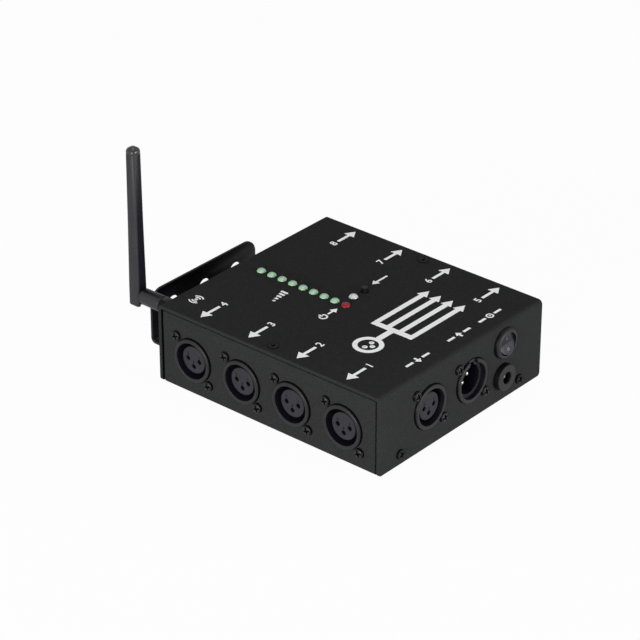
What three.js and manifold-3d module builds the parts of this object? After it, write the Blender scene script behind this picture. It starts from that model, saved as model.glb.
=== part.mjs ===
// A signal splitter for stage lights: a low case of folded sheet with eight output sockets on its long
// sides, a link socket, an inlet plug, a rocker switch and a power jack on its front end, lamps and a
// push button on top, a folding antenna and a hanging bracket behind.
// Millimetres, Z up. The front end faces -Y, and the feet stand on Z = 0.
import * as THREE from "three";
import { mergeVertices } from "three/addons/utils/BufferGeometryUtils.js";
import Module from "manifold-3d";

const wasm = await Module();
wasm.setup();

// Case: the cover is the top and both ends, the chassis is the bottom and both long sides.
const caseWidth = 131;
const caseDepth = 146.4;
const caseHeight = 44.35;
const coverSheet = 2;
const coverBend = 2.6;
const chassisSheet = 1.5;
const chassisBend = 2;
const fitGap = 0.3;
const seamTop = 0.5;
const seamFront = 0.7;
const seamBack = 1;

// Tabs bent from the chassis take the case screws behind the ends and the top screws under the top.
const endTab = { width: 9.4, height: 11.5 };
const topTab = { reach: 11.5, length: 7 };
const caseScrew = { head: 3, proud: 2, shank: 1.4, hole: 1.7, length: 7, height: 6.3 };
const caseScrewPlace = { leftInset: 15.9, nutClear: 1.3, bracketClear: 5 };
const topScrew = { head: 2.5, taper: 1.3, shank: 1.4, hole: 1.7, length: 5, sunk: 0.1, inset: 5.9 };

// Sockets with three contacts, seen from outside the panel; heights from the underside of the case.
const socket = {
  ring: 12,
  ringHole: 12.3,
  proud: 1.45,
  round: 0.9,
  mouth: 9.925,
  flangeWidth: 26,
  flangeHeight: 28.5,
  flangeCorner: 3,
  flangeSheet: 2,
  depth: 19.5,
};
const socketScrew = { head: 2.75, proud: 1.9, shank: 1.3, hole: 1.65, right: 10.85, up: 10.8 };
const panHeadShares = { rim: 0.8, shoulder: 0.78 };
const insert = { core: 7.5, sunk: 0.4, gapDepth: 12, depth: 18.5 };
const contact = { circle: 3.81, hole: 1.25, holeDepth: 9 };
const contactTurns = [0, -90, 180];
const plug = { step: 1.4, bore: 8.075, floor: 17.5, depth: 21 };
const plugNotch = { width: 6.4, top: 10.6, depth: 6 };
const pin = { radius: 1.2, tip: 6.2, tipRound: 0.6, tail: 2, hole: 1.5 };

// Places on the sides as shares of the case's depth and height, and on the front end as shares of its
// width and height. The middle of the end is zero across.
const sideRiseShare = 0.4577;
const sideAlongShares = [-0.3429, -0.1161, 0.1107, 0.3374];
const frontPlaceShares = {
  link: [-0.2023, 0.5175],
  plug: [0.0534, 0.5175],
  rocker: [0.2557, 0.7497],
  jack: [0.2496, 0.3191],
};

// Round rocker switch.
const bezel = { radius: 8.45, wall: 1.46, crown: 2.4, proud: 2.9, opening: 6.3 };
const switchBody = { radius: 7.1, hole: 7.4, depth: 15, floor: 9 };
const rocker = { radius: 6, pivot: 1.2, valley: 1.6, tilt: 22, foot: 5.2 };

// Power jack.
const jack = { collar: 7.25, proud: 3.5, bevel: 0.4, bore: 3.2, mouth: 3.5 };
const jackBody = { barrel: 5.7, hole: 6, floor: 9.5, depth: 14 };
const jackNut = { across: 14, thick: 3 };
const jackPin = { radius: 1.1, sunk: 2, round: 0.3, tail: 1.2, hole: 1.4 };

// Lamps and push button on the top. The row starts near the back end, to the left of the middle, and the
// white lamp and the button are measured from its last lamp.
const lamp = { radius: 2.45, hole: 2.75, proud: 2.05, length: 8.6, rim: 2.9, rimThick: 1 };
const lampRow = { x: -4.05, inset: 16.2, pitch: 7.15, count: 9 };
const whiteLamp = { right: 9.59, back: 2.92 };
const button = { right: 17.65, back: 2.1, stem: 1.65, hole: 2.15, proud: 2.6, round: 0.25, travel: 0.35 };
const buttonBox = { side: 6, height: 3.6, socket: 1.95, floor: 0.8 };

// Antenna, measured behind the back end; the whip stands upright and folds back in line. Its hinge lies
// lower than the middle of the knuckle.
const antenna = { inset: 13.2, drop: 8.6, hole: 3.4, thread: 3.1, threadOut: 5.6, threadIn: 9 };
const panelNut = { across: 8, thick: 2 };
const innerNut = { across: 10, thick: 2.4 };
const couplingNut = { across: 8, near: 2.4, far: 8.6, bore: 3.4, lip: 2.3, lipThick: 1.3 };
const knuckle = { flange: 3.1, flangeThick: 1.1, neck: 2, near: 8.9, far: 22.7, radius: 4.4, round: 0.5 };
const hinge = { reach: 26.8, drop: 2.3, tongue: 3.4, round: 3.4, pin: 1, hole: 1.3, scoop: 5.2 };
const tongueRoot = { low: -3.4, high: 1.5, inner: 3, outer: 1 };
const whip = { wide: 7, thick: 7.4, corner: 1.6, length: 86.8, foot: 3.7, footRound: 0.8, slotRise: 4.3 };
const whipCap = { rise: 4, sizeShare: 0.883 };
const capRiseShares = [0, 0.03, 0.45, 0.8, 1];
const capSizeShares = [1, 0.97, 0.9, 0.62, 0.24];

// Hanging bracket: a short leg on the back end, a floor and an upright plate behind.
const bracket = {
  x: 0.9,
  width: 81.8,
  sheet: 1.5,
  bend: 3,
  reach: 30.5,
  top: 31.05,
  corner: 8,
  leg: 14,
  hole: 4.5,
  holePitch: 24.6,
  holeHeight: 17.15,
};
const bracketScrew = { head: 3, proud: 1.8, shank: 1.4, hole: 1.7, length: 5.5, x: 28, height: 7.5 };

// Rubber feet and boards.
const foot = { radius: 5, taper: 0.6, height: 4, fromSide: 13.2, fromEnd: 12.8 };
const mainBoard = { sideClear: 6.7, frontClear: 26.8, backClear: 14.8, thick: 1.6, bottom: 7.5 };
const standOff = { radius: 3, insetX: 5, insetY: 5 };
const chip = { width: 8, depth: 11, height: 2.4 };
const chipColumnShares = [-0.28, 0.28];
const chipRowShares = [0.14, -0.05, -0.24, -0.43];
const lampBoard = { left: 5.25, right: 6.1, front: 7.2, back: 5.6, thick: 1.6 };
const spacer = { radius: 2.2, right: 11.75, inset: 3.5 };
const radio = { inset: 6, back: 3, width: 26, depth: 18, height: 4, corner: 1 };

// How finely round things are cut.
const ringSides = 22;
const insertSides = 16;
const screwSides = 8;
const lampSides = 10;
const bendSides = 4;
const weld = 1e-3;
const past = 1;

const halfWidth = caseWidth / 2;
const halfDepth = caseDepth / 2;
const jackNutRight = frontPlaceShares.jack[0] * caseWidth + jackNut.across / Math.sqrt(3);
const frontScrewPlaces = [
  -halfWidth + caseScrewPlace.leftInset,
  jackNutRight + caseScrewPlace.nutClear + endTab.width / 2,
];
const bracketLeft = bracket.x - bracket.width / 2;
const bracketRight = bracket.x + bracket.width / 2;
const backScrewPlaces = [
  bracketLeft - caseScrewPlace.bracketClear,
  bracketRight + caseScrewPlace.bracketClear,
];
const up = new THREE.Vector3(0, 0, 1);

// A closed surface as a solid that can be joined and cut.
function solid(geometry) {
  geometry.deleteAttribute("normal");
  geometry.deleteAttribute("uv");
  const merged = mergeVertices(geometry, weld);
  const index = merged.index.array;
  const kept = [];
  for (let i = 0; i < index.length; i += 3) {
    const corners = new Set([index[i], index[i + 1], index[i + 2]]);
    if (corners.size === 3) kept.push(...corners);
  }
  const surface = new wasm.Mesh({
    numProp: 3,
    vertProperties: merged.attributes.position.array,
    triVerts: new Uint32Array(kept),
  });
  return new wasm.Manifold(surface);
}

const join = (...solids) => solids.reduce((whole, piece) => whole.add(piece));
const cut = (whole, ...tools) => tools.reduce((left, tool) => left.subtract(tool), whole);
const moved = (piece, matrix) => piece.transform(matrix.elements);

// The frame of a face: x to the right and y up as seen from outside, z outwards.
function facing(outward, x, y, z) {
  const upward = Math.abs(outward.z) > 0 ? new THREE.Vector3(0, 1, 0) : up;
  const right = new THREE.Vector3().crossVectors(upward, outward);
  return new THREE.Matrix4().makeBasis(right, upward, outward).setPosition(x, y, z);
}

const toFront = (x, height) => facing(new THREE.Vector3(0, -1, 0), x, -halfDepth, height);
const toBack = (x, height) => facing(new THREE.Vector3(0, 1, 0), x, halfDepth, height);
const toSide = (side, y, height) => facing(new THREE.Vector3(side, 0, 0), side * halfWidth, y, height);
const toTop = (x, y) => facing(up, x, y, caseHeight);
const toBottom = (x, y) => facing(new THREE.Vector3(0, 0, -1), x, y, 0);
const onFront = ([across, rise]) => toFront(across * caseWidth, rise * caseHeight);
const onSide = (side, along) => toSide(side, along * caseDepth, sideRiseShare * caseHeight);

// A turned piece about z from [radius, height] pairs, highest first.
function turned(profile, sides) {
  const points = profile.map(([radius, height]) => new THREE.Vector2(radius, height)).reverse();
  return solid(new THREE.LatheGeometry(points, sides).rotateX(Math.PI / 2));
}

// A turned ring: the profile goes round the section and closes on its first point.
const turnedRing = (profile, sides) => turned([...profile, profile[0]], sides);

function rod(radius, low, high, sides) {
  const profile = [[0, high], [radius, high], [radius, low], [0, low]];
  return turned(profile, sides);
}

function block(low, high) {
  const size = new THREE.Vector3().subVectors(high, low);
  const middle = new THREE.Vector3().addVectors(low, high).multiplyScalar(1 / 2);
  const box = new THREE.BoxGeometry(size.x, size.y, size.z);
  return solid(box.translate(middle.x, middle.y, middle.z));
}

const vector = (x, y, z) => new THREE.Vector3(x, y, z);

// A shape pushed along z from low to high.
function pushed(shape, low, high) {
  const options = { depth: high - low, bevelEnabled: false, curveSegments: bendSides };
  return solid(new THREE.ExtrudeGeometry(shape, options).translate(0, 0, low));
}

// A rectangle with its own radius at each corner: low right, high right, high left, low left.
function roundedShape(left, low, right, high, radii) {
  const [lowRight, highRight, highLeft, lowLeft] = radii;
  const shape = new THREE.Shape();
  const quarter = Math.PI / 2;
  const corner = (x, y, radius, turns) => {
    if (radius > 0) shape.absarc(x, y, radius, quarter * turns, quarter * (turns + 1), false);
    else shape.lineTo(x, y);
  };
  shape.moveTo(left + lowLeft, low);
  corner(right - lowRight, low + lowRight, lowRight, -1);
  corner(right - highRight, high - highRight, highRight, 0);
  corner(left + highLeft, high - highLeft, highLeft, 1);
  corner(left + lowLeft, low + lowLeft, lowLeft, 2);
  return shape;
}

const evenShape = (width, height, radius) =>
  roundedShape(-width / 2, -height / 2, width / 2, height / 2, [radius, radius, radius, radius]);

function hexagon(across) {
  const radius = across / Math.sqrt(3);
  const corners = [];
  for (let i = 0; i < 6; i += 1) {
    const angle = (Math.PI / 3) * i;
    corners.push(new THREE.Vector2(radius * Math.cos(angle), radius * Math.sin(angle)));
  }
  return new THREE.Shape(corners);
}

// Frames for shapes drawn in (y, z) and pushed along x, and drawn in (x, z) and pushed along -y.
const alongX = new THREE.Matrix4().makeBasis(vector(0, 1, 0), vector(0, 0, 1), vector(1, 0, 0));
const alongY = new THREE.Matrix4().makeBasis(vector(1, 0, 0), vector(0, 0, 1), vector(0, -1, 0));

// Surfaces shared by the nodes.
const surfaces = {
  coat: new THREE.MeshStandardMaterial({ color: 0x262626, roughness: 0.7 }),
  bracketCoat: new THREE.MeshStandardMaterial({ color: 0x1c1c1e, roughness: 0.45 }),
  socketShell: new THREE.MeshStandardMaterial({ color: 0x1b1b1d, roughness: 0.5 }),
  socketInsert: new THREE.MeshStandardMaterial({ color: 0x3a373e, roughness: 0.6 }),
  bright: new THREE.MeshStandardMaterial({ color: 0xd6d6d8, roughness: 0.25, metalness: 1 }),
  glossBlack: new THREE.MeshStandardMaterial({ color: 0x151517, roughness: 0.2 }),
  matBlack: new THREE.MeshStandardMaterial({ color: 0x222224, roughness: 0.6 }),
  rubber: new THREE.MeshStandardMaterial({ color: 0x161616, roughness: 0.9 }),
  green: new THREE.MeshStandardMaterial({ color: 0x86c090, roughness: 0.2 }),
  red: new THREE.MeshStandardMaterial({ color: 0xc01e2e, roughness: 0.2 }),
  white: new THREE.MeshStandardMaterial({ color: 0xd0d0d0, roughness: 0.2 }),
  board: new THREE.MeshStandardMaterial({ color: 0x1d5a34, roughness: 0.5 }),
};

const splitter = new THREE.Group();

function add(name, piece, surface) {
  const { vertProperties, triVerts } = piece.getMesh();
  const geometry = new THREE.BufferGeometry();
  geometry.setAttribute("position", new THREE.BufferAttribute(vertProperties, 3));
  geometry.setIndex(new THREE.BufferAttribute(triVerts, 1));
  const mesh = new THREE.Mesh(geometry, surface.clone());
  mesh.name = name;
  splitter.add(mesh);
}

// The cover, folded from one sheet, and then its cut-outs.
const coverInner = coverBend - coverSheet;
const coverOutside = roundedShape(-halfDepth, 0, halfDepth, caseHeight, [0, coverBend, coverBend, 0]);
const coverInside = roundedShape(
  -halfDepth + coverSheet,
  -past,
  halfDepth - coverSheet,
  caseHeight - coverSheet,
  [0, coverInner, coverInner, 0],
);
const endOutline = roundedShape(-halfWidth, 0, halfWidth, caseHeight, [chassisBend, 0, 0, chassisBend]);
const coverFold = cut(
  moved(pushed(coverOutside, -halfWidth, halfWidth), alongX),
  moved(pushed(coverInside, -halfWidth - past, halfWidth + past), alongX),
);
const ends = moved(pushed(endOutline, -halfDepth, halfDepth), alongY);

const through = (radius, sheet, sides) => rod(radius, -sheet - past, past, sides);
const screwAt = [
  [-socketScrew.right, socketScrew.up],
  [socketScrew.right, -socketScrew.up],
];

// The holes that one socket needs in its panel.
function socketHoles(place, sheet) {
  const holes = [moved(through(socket.ringHole, sheet, ringSides), place)];
  for (const [right, rise] of screwAt) {
    const at = place.clone().multiply(new THREE.Matrix4().makeTranslation(right, rise, 0));
    holes.push(moved(through(socketScrew.hole, sheet, screwSides), at));
  }
  return holes;
}

const rowStart = halfDepth - lampRow.inset;
const rowEnd = rowStart - lampRow.pitch * (lampRow.count - 1);
const lampPlaces = [];
for (let i = 0; i < lampRow.count; i += 1) {
  lampPlaces.push([lampRow.x, rowStart - lampRow.pitch * i]);
}
lampPlaces.push([lampRow.x + whiteLamp.right, rowEnd + whiteLamp.back]);
const buttonX = lampRow.x + button.right;
const buttonPlace = toTop(buttonX, rowEnd + button.back);
const antennaX = -halfWidth + antenna.inset;
const antennaHeight = caseHeight - antenna.drop;
const antennaPlace = toBack(antennaX, antennaHeight);
const plugPlace = onFront(frontPlaceShares.plug);
const switchPlace = onFront(frontPlaceShares.rocker);
const jackPlace = onFront(frontPlaceShares.jack);

const topScrewX = halfWidth - topScrew.inset;
const sunkHole = turned(
  [
    [0, past],
    [topScrew.head + fitGap, past],
    [topScrew.head + fitGap, 0],
    [topScrew.hole, -topScrew.taper],
    [topScrew.hole, -coverSheet - past],
    [0, -coverSheet - past],
  ],
  lampSides,
);
const coverHoles = [
  ...socketHoles(onFront(frontPlaceShares.link), coverSheet),
  ...socketHoles(plugPlace, coverSheet),
  moved(through(switchBody.hole, coverSheet, insertSides), switchPlace),
  moved(through(jackBody.hole, coverSheet, insertSides), jackPlace),
  moved(through(antenna.hole, coverSheet, lampSides), antennaPlace),
  moved(through(button.hole, coverSheet, lampSides), buttonPlace),
];
for (const [x, y] of lampPlaces) {
  coverHoles.push(moved(through(lamp.hole, coverSheet, lampSides), toTop(x, y)));
}
const frontScrewFrames = frontScrewPlaces.map((x) => toFront(x, caseScrew.height));
const backScrewFrames = backScrewPlaces.map((x) => toBack(x, caseScrew.height));
for (const place of [...frontScrewFrames, ...backScrewFrames]) {
  coverHoles.push(moved(through(caseScrew.hole, coverSheet, screwSides), place));
}
const bracketScrewPlaces = [-1, 1].map((side) =>
  toBack(bracket.x + side * bracketScrew.x, bracketScrew.height),
);
for (const place of bracketScrewPlaces) {
  coverHoles.push(moved(through(bracketScrew.hole, coverSheet, screwSides), place));
}
for (const side of [-1, 1]) {
  coverHoles.push(moved(sunkHole, toTop(side * topScrewX, 0)));
}
add("cover", cut(coverFold.intersect(ends), ...coverHoles), surfaces.coat);

// The chassis with its tabs and stand-offs.
const sideTop = caseHeight - coverSheet - seamTop;
const chassisInner = chassisBend - chassisSheet;
const chassisFront = -halfDepth + coverSheet + seamFront;
const chassisBack = halfDepth - coverSheet - seamBack;
const trayOutside = roundedShape(-halfWidth, 0, halfWidth, sideTop, [chassisBend, 0, 0, chassisBend]);
const trayInside = roundedShape(
  -halfWidth + chassisSheet,
  chassisSheet,
  halfWidth - chassisSheet,
  sideTop + past,
  [chassisInner, 0, 0, chassisInner],
);
const tray = cut(
  moved(pushed(trayOutside, -chassisBack, -chassisFront), alongY),
  moved(pushed(trayInside, -chassisBack - past, -chassisFront + past), alongY),
);

// A tab behind an end: a short foot on the bottom sheet and an upright leg against the end.
function tabShape(reach) {
  const outside = roundedShape(0, 0, reach, endTab.height, [0, 0, 0, chassisBend]);
  const hollow = roundedShape(chassisSheet, chassisSheet, reach + past, endTab.height + past, [
    0,
    0,
    0,
    chassisInner,
  ]);
  return cut(
    pushed(outside, -endTab.width / 2, endTab.width / 2),
    pushed(hollow, -endTab.width, endTab.width),
  );
}

const tabReach = endTab.height / 2;
const tabs = [];
const tabHoles = [];
const inward = new THREE.Matrix4().makeBasis(vector(0, 1, 0), up, vector(1, 0, 0));
for (const x of frontScrewPlaces) {
  tabs.push(moved(tabShape(tabReach), inward.clone().setPosition(x, -halfDepth + coverSheet, 0)));
}
const backward = new THREE.Matrix4().makeBasis(vector(0, -1, 0), up, vector(-1, 0, 0));
for (const x of backScrewPlaces) {
  tabs.push(moved(tabShape(tabReach), backward.clone().setPosition(x, halfDepth - coverSheet, 0)));
}
for (const place of [...frontScrewFrames, ...backScrewFrames]) {
  tabHoles.push(moved(rod(caseScrew.hole, -caseScrew.length, past, screwSides), place));
}
for (const side of [-1, 1]) {
  const outer = side * (halfWidth - chassisSheet / 2);
  const inner = side * (halfWidth - topTab.reach);
  tabs.push(
    block(
      vector(Math.min(outer, inner), -topTab.length / 2, sideTop - chassisSheet),
      vector(Math.max(outer, inner), topTab.length / 2, sideTop),
    ),
  );
  const hole = rod(topScrew.hole, -topScrew.length - past, past, screwSides);
  tabHoles.push(moved(hole, toTop(side * topScrewX, 0)));
  for (const along of sideAlongShares) {
    tabHoles.push(...socketHoles(onSide(side, along), chassisSheet));
  }
}
const boardHalf = halfWidth - socket.depth - mainBoard.sideClear;
const boardFront = -halfDepth + mainBoard.frontClear;
const boardBack = halfDepth - mainBoard.backClear;
const standX = boardHalf - standOff.insetX;
for (const x of [-standX, standX]) {
  for (const y of [boardFront + standOff.insetY, boardBack - standOff.insetY]) {
    const post = rod(standOff.radius, chassisSheet / 2, mainBoard.bottom, screwSides);
    tabs.push(post.translate(x, y, 0));
  }
}
add("chassis", cut(join(tray, ...tabs), ...tabHoles), surfaces.coat);

// Pan-headed screws, heads outwards along z.
function panScrew(size, length) {
  const profile = [
    [0, size.proud],
    [size.head * panHeadShares.rim, size.proud * panHeadShares.shoulder],
    [size.head, 0],
    [size.shank, 0],
    [size.shank, -length],
    [0, -length],
  ];
  return turned(profile, screwSides);
}

const caseScrewBody = panScrew(caseScrew, caseScrew.length);
for (const [end, places] of [["front", frontScrewFrames], ["back", backScrewFrames]]) {
  places.forEach((place, i) => {
    add("case_screw_" + end + "_" + (i + 1), moved(caseScrewBody, place), surfaces.matBlack);
  });
}
const countersunk = turned(
  [
    [0, -topScrew.sunk],
    [topScrew.head, -topScrew.sunk],
    [topScrew.shank, -topScrew.taper],
    [topScrew.shank, -topScrew.length],
    [0, -topScrew.length],
  ],
  screwSides,
);
add("top_screw_left", moved(countersunk, toTop(-topScrewX, 0)), surfaces.matBlack);
add("top_screw_right", moved(countersunk, toTop(topScrewX, 0)), surfaces.matBlack);

// The ring, barrel and flange of a socket or plug, with its two screws, behind a panel of that sheet.
function shell(sheet, bore) {
  const roundCentre = socket.ring - socket.round;
  const edge = [0, 1, 2].map((step) => {
    const angle = (Math.PI / 4) * (2 - step);
    return [
      roundCentre + socket.round * Math.cos(angle),
      socket.proud - socket.round + socket.round * Math.sin(angle),
    ];
  });
  const ring = turnedRing(
    [...edge, [socket.ring, -socket.depth], ...bore],
    ringSides,
  );
  const flange = pushed(
    evenShape(socket.flangeWidth, socket.flangeHeight, socket.flangeCorner),
    -sheet - socket.flangeSheet,
    -sheet,
  );
  const flangeBore = rod((socket.mouth + socket.ring) / 2, -socket.depth, past, ringSides);
  const screws = screwAt.map(([right, rise]) =>
    panScrew(socketScrew, sheet + socket.flangeSheet / 2).translate(right, rise, 0),
  );
  return join(ring, cut(flange, flangeBore), ...screws);
}

const openBore = [
  [socket.mouth, -socket.depth],
  [socket.mouth, socket.proud],
];

// The black insert with its three contact holes, set back inside the shell.
function socketInsert() {
  const base = socket.mouth - fitGap;
  const body = turned(
    [
      [0, -insert.sunk],
      [insert.core, -insert.sunk],
      [insert.core, -insert.gapDepth],
      [base, -insert.gapDepth],
      [base, -insert.depth],
      [0, -insert.depth],
    ],
    insertSides,
  );
  const holes = contactTurns.map((turn) => {
    const angle = THREE.MathUtils.degToRad(turn);
    const hole = rod(contact.hole, -insert.sunk - contact.holeDepth, past, screwSides);
    return hole.translate(contact.circle * Math.cos(angle), contact.circle * Math.sin(angle), 0);
  });
  return cut(body, ...holes);
}

function addSocket(name, place, sheet) {
  add(name + "_shell", moved(shell(sheet, openBore), place), surfaces.socketShell);
  add(name + "_insert", moved(socketInsert(), place), surfaces.socketInsert);
}

sideAlongShares.forEach((along, i) => {
  const fromBack = sideAlongShares.length - i;
  addSocket("output_left_" + fromBack, onSide(-1, along), chassisSheet);
  addSocket("output_right_" + fromBack, onSide(1, along), chassisSheet);
});
addSocket("link_output", onFront(frontPlaceShares.link), coverSheet);

// The inlet plug: a stepped bore with a latch notch at its top, an insert and three pins.
const steppedBore = [
  [plug.bore, -socket.depth],
  [plug.bore, -plug.step],
  [socket.mouth, -plug.step],
  [socket.mouth, socket.proud],
];
const latchNotch = block(
  vector(-plugNotch.width / 2, plug.bore / 2, -plug.step - plugNotch.depth),
  vector(plugNotch.width / 2, plugNotch.top, socket.proud + past),
);
const pinPlaces = contactTurns.map((turn) => {
  const angle = THREE.MathUtils.degToRad(turn);
  return [contact.circle * Math.cos(angle), contact.circle * Math.sin(angle)];
});
const plugShell = cut(shell(coverSheet, steppedBore), latchNotch);
add("input_shell", moved(plugShell, plugPlace), surfaces.socketShell);
const plugDisc = rod(plug.bore - fitGap, -plug.depth, -plug.floor, insertSides);
const pinHoles = pinPlaces.map(([x, y]) =>
  rod(pin.hole, -plug.depth - past, -plug.floor + past, screwSides).translate(x, y, 0),
);
add("input_insert", moved(cut(plugDisc, ...pinHoles), plugPlace), surfaces.socketInsert);
pinPlaces.forEach(([x, y], i) => {
  const body = turned(
    [
      [0, -pin.tip],
      [pin.radius - pin.tipRound, -pin.tip],
      [pin.radius, -pin.tip - pin.tipRound],
      [pin.radius, -plug.depth - pin.tail],
      [0, -plug.depth - pin.tail],
    ],
    screwSides,
  );
  add("input_pin_" + (i + 1), moved(body.translate(x, y, 0), plugPlace), surfaces.bright);
});

// The switch: a domed bezel on a deep cup, and a rocker cut by two faces that meet in a valley.
const housing = turned(
  [
    [0, -switchBody.floor],
    [bezel.opening, -switchBody.floor],
    [bezel.opening, bezel.proud],
    [(bezel.opening + bezel.radius) / 2, bezel.crown],
    [bezel.radius, bezel.wall],
    [bezel.radius, 0],
    [switchBody.radius, 0],
    [switchBody.radius, -switchBody.depth],
    [0, -switchBody.depth],
  ],
  ringSides,
);
add("switch_housing", moved(housing, switchPlace), surfaces.glossBlack);
const ball = solid(new THREE.SphereGeometry(rocker.radius, insertSides, screwSides));
const deep = rocker.radius * 2;
const flatHalf = block(vector(-deep, 0, rocker.valley), vector(deep, deep, deep));
const risingHalf = moved(
  block(vector(-deep, -deep, 0), vector(deep, 0, deep)),
  new THREE.Matrix4()
    .makeRotationX(THREE.MathUtils.degToRad(-rocker.tilt))
    .setPosition(0, 0, rocker.valley),
);
const below = block(vector(-deep, -deep, -deep), vector(deep, deep, rocker.pivot - rocker.foot));
const rockerBody = cut(ball.translate(0, 0, rocker.pivot), flatHalf, risingHalf, below);
add("rocker", moved(rockerBody, switchPlace), surfaces.glossBlack);

// The power jack with its nut and centre pin.
const jackShape = turned(
  [
    [jackPin.hole, -jackBody.floor],
    [jack.bore, -jackBody.floor],
    [jack.bore, jack.proud - jack.bevel],
    [jack.mouth, jack.proud],
    [jack.collar - jack.bevel, jack.proud],
    [jack.collar, jack.proud - jack.bevel],
    [jack.collar, 0],
    [jackBody.barrel, 0],
    [jackBody.barrel, -jackBody.depth],
    [jackPin.hole, -jackBody.depth],
    [jackPin.hole, -jackBody.floor],
  ],
  insertSides,
);
add("power_jack_body", moved(jackShape, jackPlace), surfaces.matBlack);
const nutBlank = pushed(hexagon(jackNut.across), -coverSheet - jackNut.thick, -coverSheet);
const jackNutBody = cut(nutBlank, rod(jackBody.hole, -jackBody.depth, past, insertSides));
add("power_jack_nut", moved(jackNutBody, jackPlace), surfaces.bright);
const centrePin = turned(
  [
    [0, jack.proud - jackPin.sunk],
    [jackPin.radius - jackPin.round, jack.proud - jackPin.sunk],
    [jackPin.radius, jack.proud - jackPin.sunk - jackPin.round],
    [jackPin.radius, -jackBody.depth - jackPin.tail],
    [0, -jackBody.depth - jackPin.tail],
  ],
  screwSides,
);
add("power_jack_pin", moved(centrePin, jackPlace), surfaces.bright);

// Lamps: domed bodies standing on the lamp board.
const lampFoot = lamp.proud - lamp.length;
const domeCentre = lamp.proud - lamp.radius;
const dome = [0, 1, 2].map((step) => {
  const angle = (Math.PI / 4) * (2 - step);
  return [lamp.radius * Math.cos(angle), domeCentre + lamp.radius * Math.sin(angle)];
});
const lampBody = turned(
  [
    ...dome,
    [lamp.radius, lampFoot + lamp.rimThick],
    [lamp.rim, lampFoot + lamp.rimThick],
    [lamp.rim, lampFoot],
    [0, lampFoot],
  ],
  lampSides,
);
lampPlaces.forEach(([x, y], i) => {
  const place = toTop(x, y);
  if (i < lampRow.count - 1) add("green_lamp_" + (i + 1), moved(lampBody, place), surfaces.green);
  else if (i < lampRow.count) add("red_lamp", moved(lampBody, place), surfaces.red);
  else add("white_lamp", moved(lampBody, place), surfaces.white);
});

// The lamp board hangs under the top on two spacers and carries the push button's box.
const boardTop = caseHeight + lampFoot;
const lampBoardFront = rowEnd - lampBoard.front;
const lampBoardBack = rowStart + lampBoard.back;
const boardPlate = block(
  vector(lampRow.x - lampBoard.left, lampBoardFront, boardTop - lampBoard.thick),
  vector(buttonX + lampBoard.right, lampBoardBack, boardTop),
);
const spacers = [lampBoardFront + spacer.inset, lampBoardBack - spacer.inset].map((y) => {
  const post = rod(spacer.radius, boardTop - lampBoard.thick / 2, caseHeight - coverSheet, screwSides);
  return post.translate(lampRow.x + spacer.right, y, 0);
});
add("lamp_board", join(boardPlate, ...spacers), surfaces.board);
const boxHalf = buttonBox.side / 2;
const boxBottom = lampFoot;
const boxTop = boxBottom + buttonBox.height;
const boxBlank = block(vector(-boxHalf, -boxHalf, boxBottom), vector(boxHalf, boxHalf, boxTop));
const stemWell = rod(buttonBox.socket, boxBottom + buttonBox.floor, boxTop + past, lampSides);
add("button_box", moved(cut(boxBlank, stemWell), buttonPlace), surfaces.matBlack);
const stem = turned(
  [
    [0, button.proud],
    [button.stem - button.round, button.proud],
    [button.stem, button.proud - button.round],
    [button.stem, boxBottom + buttonBox.floor + button.travel + fitGap],
    [0, boxBottom + buttonBox.floor + button.travel + fitGap],
  ],
  lampSides,
);
add("button_stem", moved(stem, buttonPlace), surfaces.matBlack);

// The antenna's bulkhead socket, coupling nut and knuckle, along the line out of the back end.
const bulkhead = join(
  rod(antenna.thread, -antenna.threadIn, antenna.threadOut, lampSides),
  pushed(hexagon(panelNut.across), 0, panelNut.thick),
  pushed(hexagon(innerNut.across), -coverSheet - innerNut.thick, -coverSheet),
);
add("antenna_socket", moved(bulkhead, antennaPlace), surfaces.bright);
const nutBore = turned(
  [
    [0, couplingNut.far + past],
    [couplingNut.lip, couplingNut.far + past],
    [couplingNut.lip, couplingNut.far - couplingNut.lipThick],
    [couplingNut.bore, couplingNut.far - couplingNut.lipThick],
    [couplingNut.bore, couplingNut.near - past],
    [0, couplingNut.near - past],
  ],
  lampSides,
);
const couplingBlank = pushed(hexagon(couplingNut.across), couplingNut.near, couplingNut.far);
add("antenna_coupling_nut", moved(cut(couplingBlank, nutBore), antennaPlace), surfaces.matBlack);
const flangeTop = couplingNut.far - couplingNut.lipThick - fitGap;
const knuckleTurned = turned(
  [
    [0, knuckle.far],
    [knuckle.radius - knuckle.round, knuckle.far],
    [knuckle.radius, knuckle.far - knuckle.round],
    [knuckle.radius, knuckle.near + knuckle.round],
    [knuckle.radius - knuckle.round, knuckle.near],
    [knuckle.neck, knuckle.near],
    [knuckle.neck, flangeTop],
    [knuckle.flange, flangeTop],
    [knuckle.flange, flangeTop - knuckle.flangeThick],
    [0, flangeTop - knuckle.flangeThick],
  ],
  insertSides,
);
const acrossHinge = new THREE.Matrix4()
  .makeBasis(vector(0, 0, -1), vector(0, 1, 0), vector(1, 0, 0))
  .setPosition(0, -hinge.drop, hinge.reach);
const aboutHinge = (radius, half, sides) => moved(rod(radius, -half, half, sides), acrossHinge);
const root = block(
  vector(-hinge.tongue / 2, tongueRoot.low, knuckle.far - tongueRoot.inner),
  vector(hinge.tongue / 2, tongueRoot.high, knuckle.far - tongueRoot.outer),
);
const tongue = wasm.Manifold.hull([aboutHinge(hinge.round, hinge.tongue / 2, insertSides), root]);
const knuckleBody = cut(
  join(cut(knuckleTurned, aboutHinge(hinge.scoop, whip.wide, insertSides)), tongue),
  aboutHinge(hinge.hole, whip.wide, screwSides),
);
add("antenna_knuckle", moved(knuckleBody, antennaPlace), surfaces.matBlack);

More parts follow.
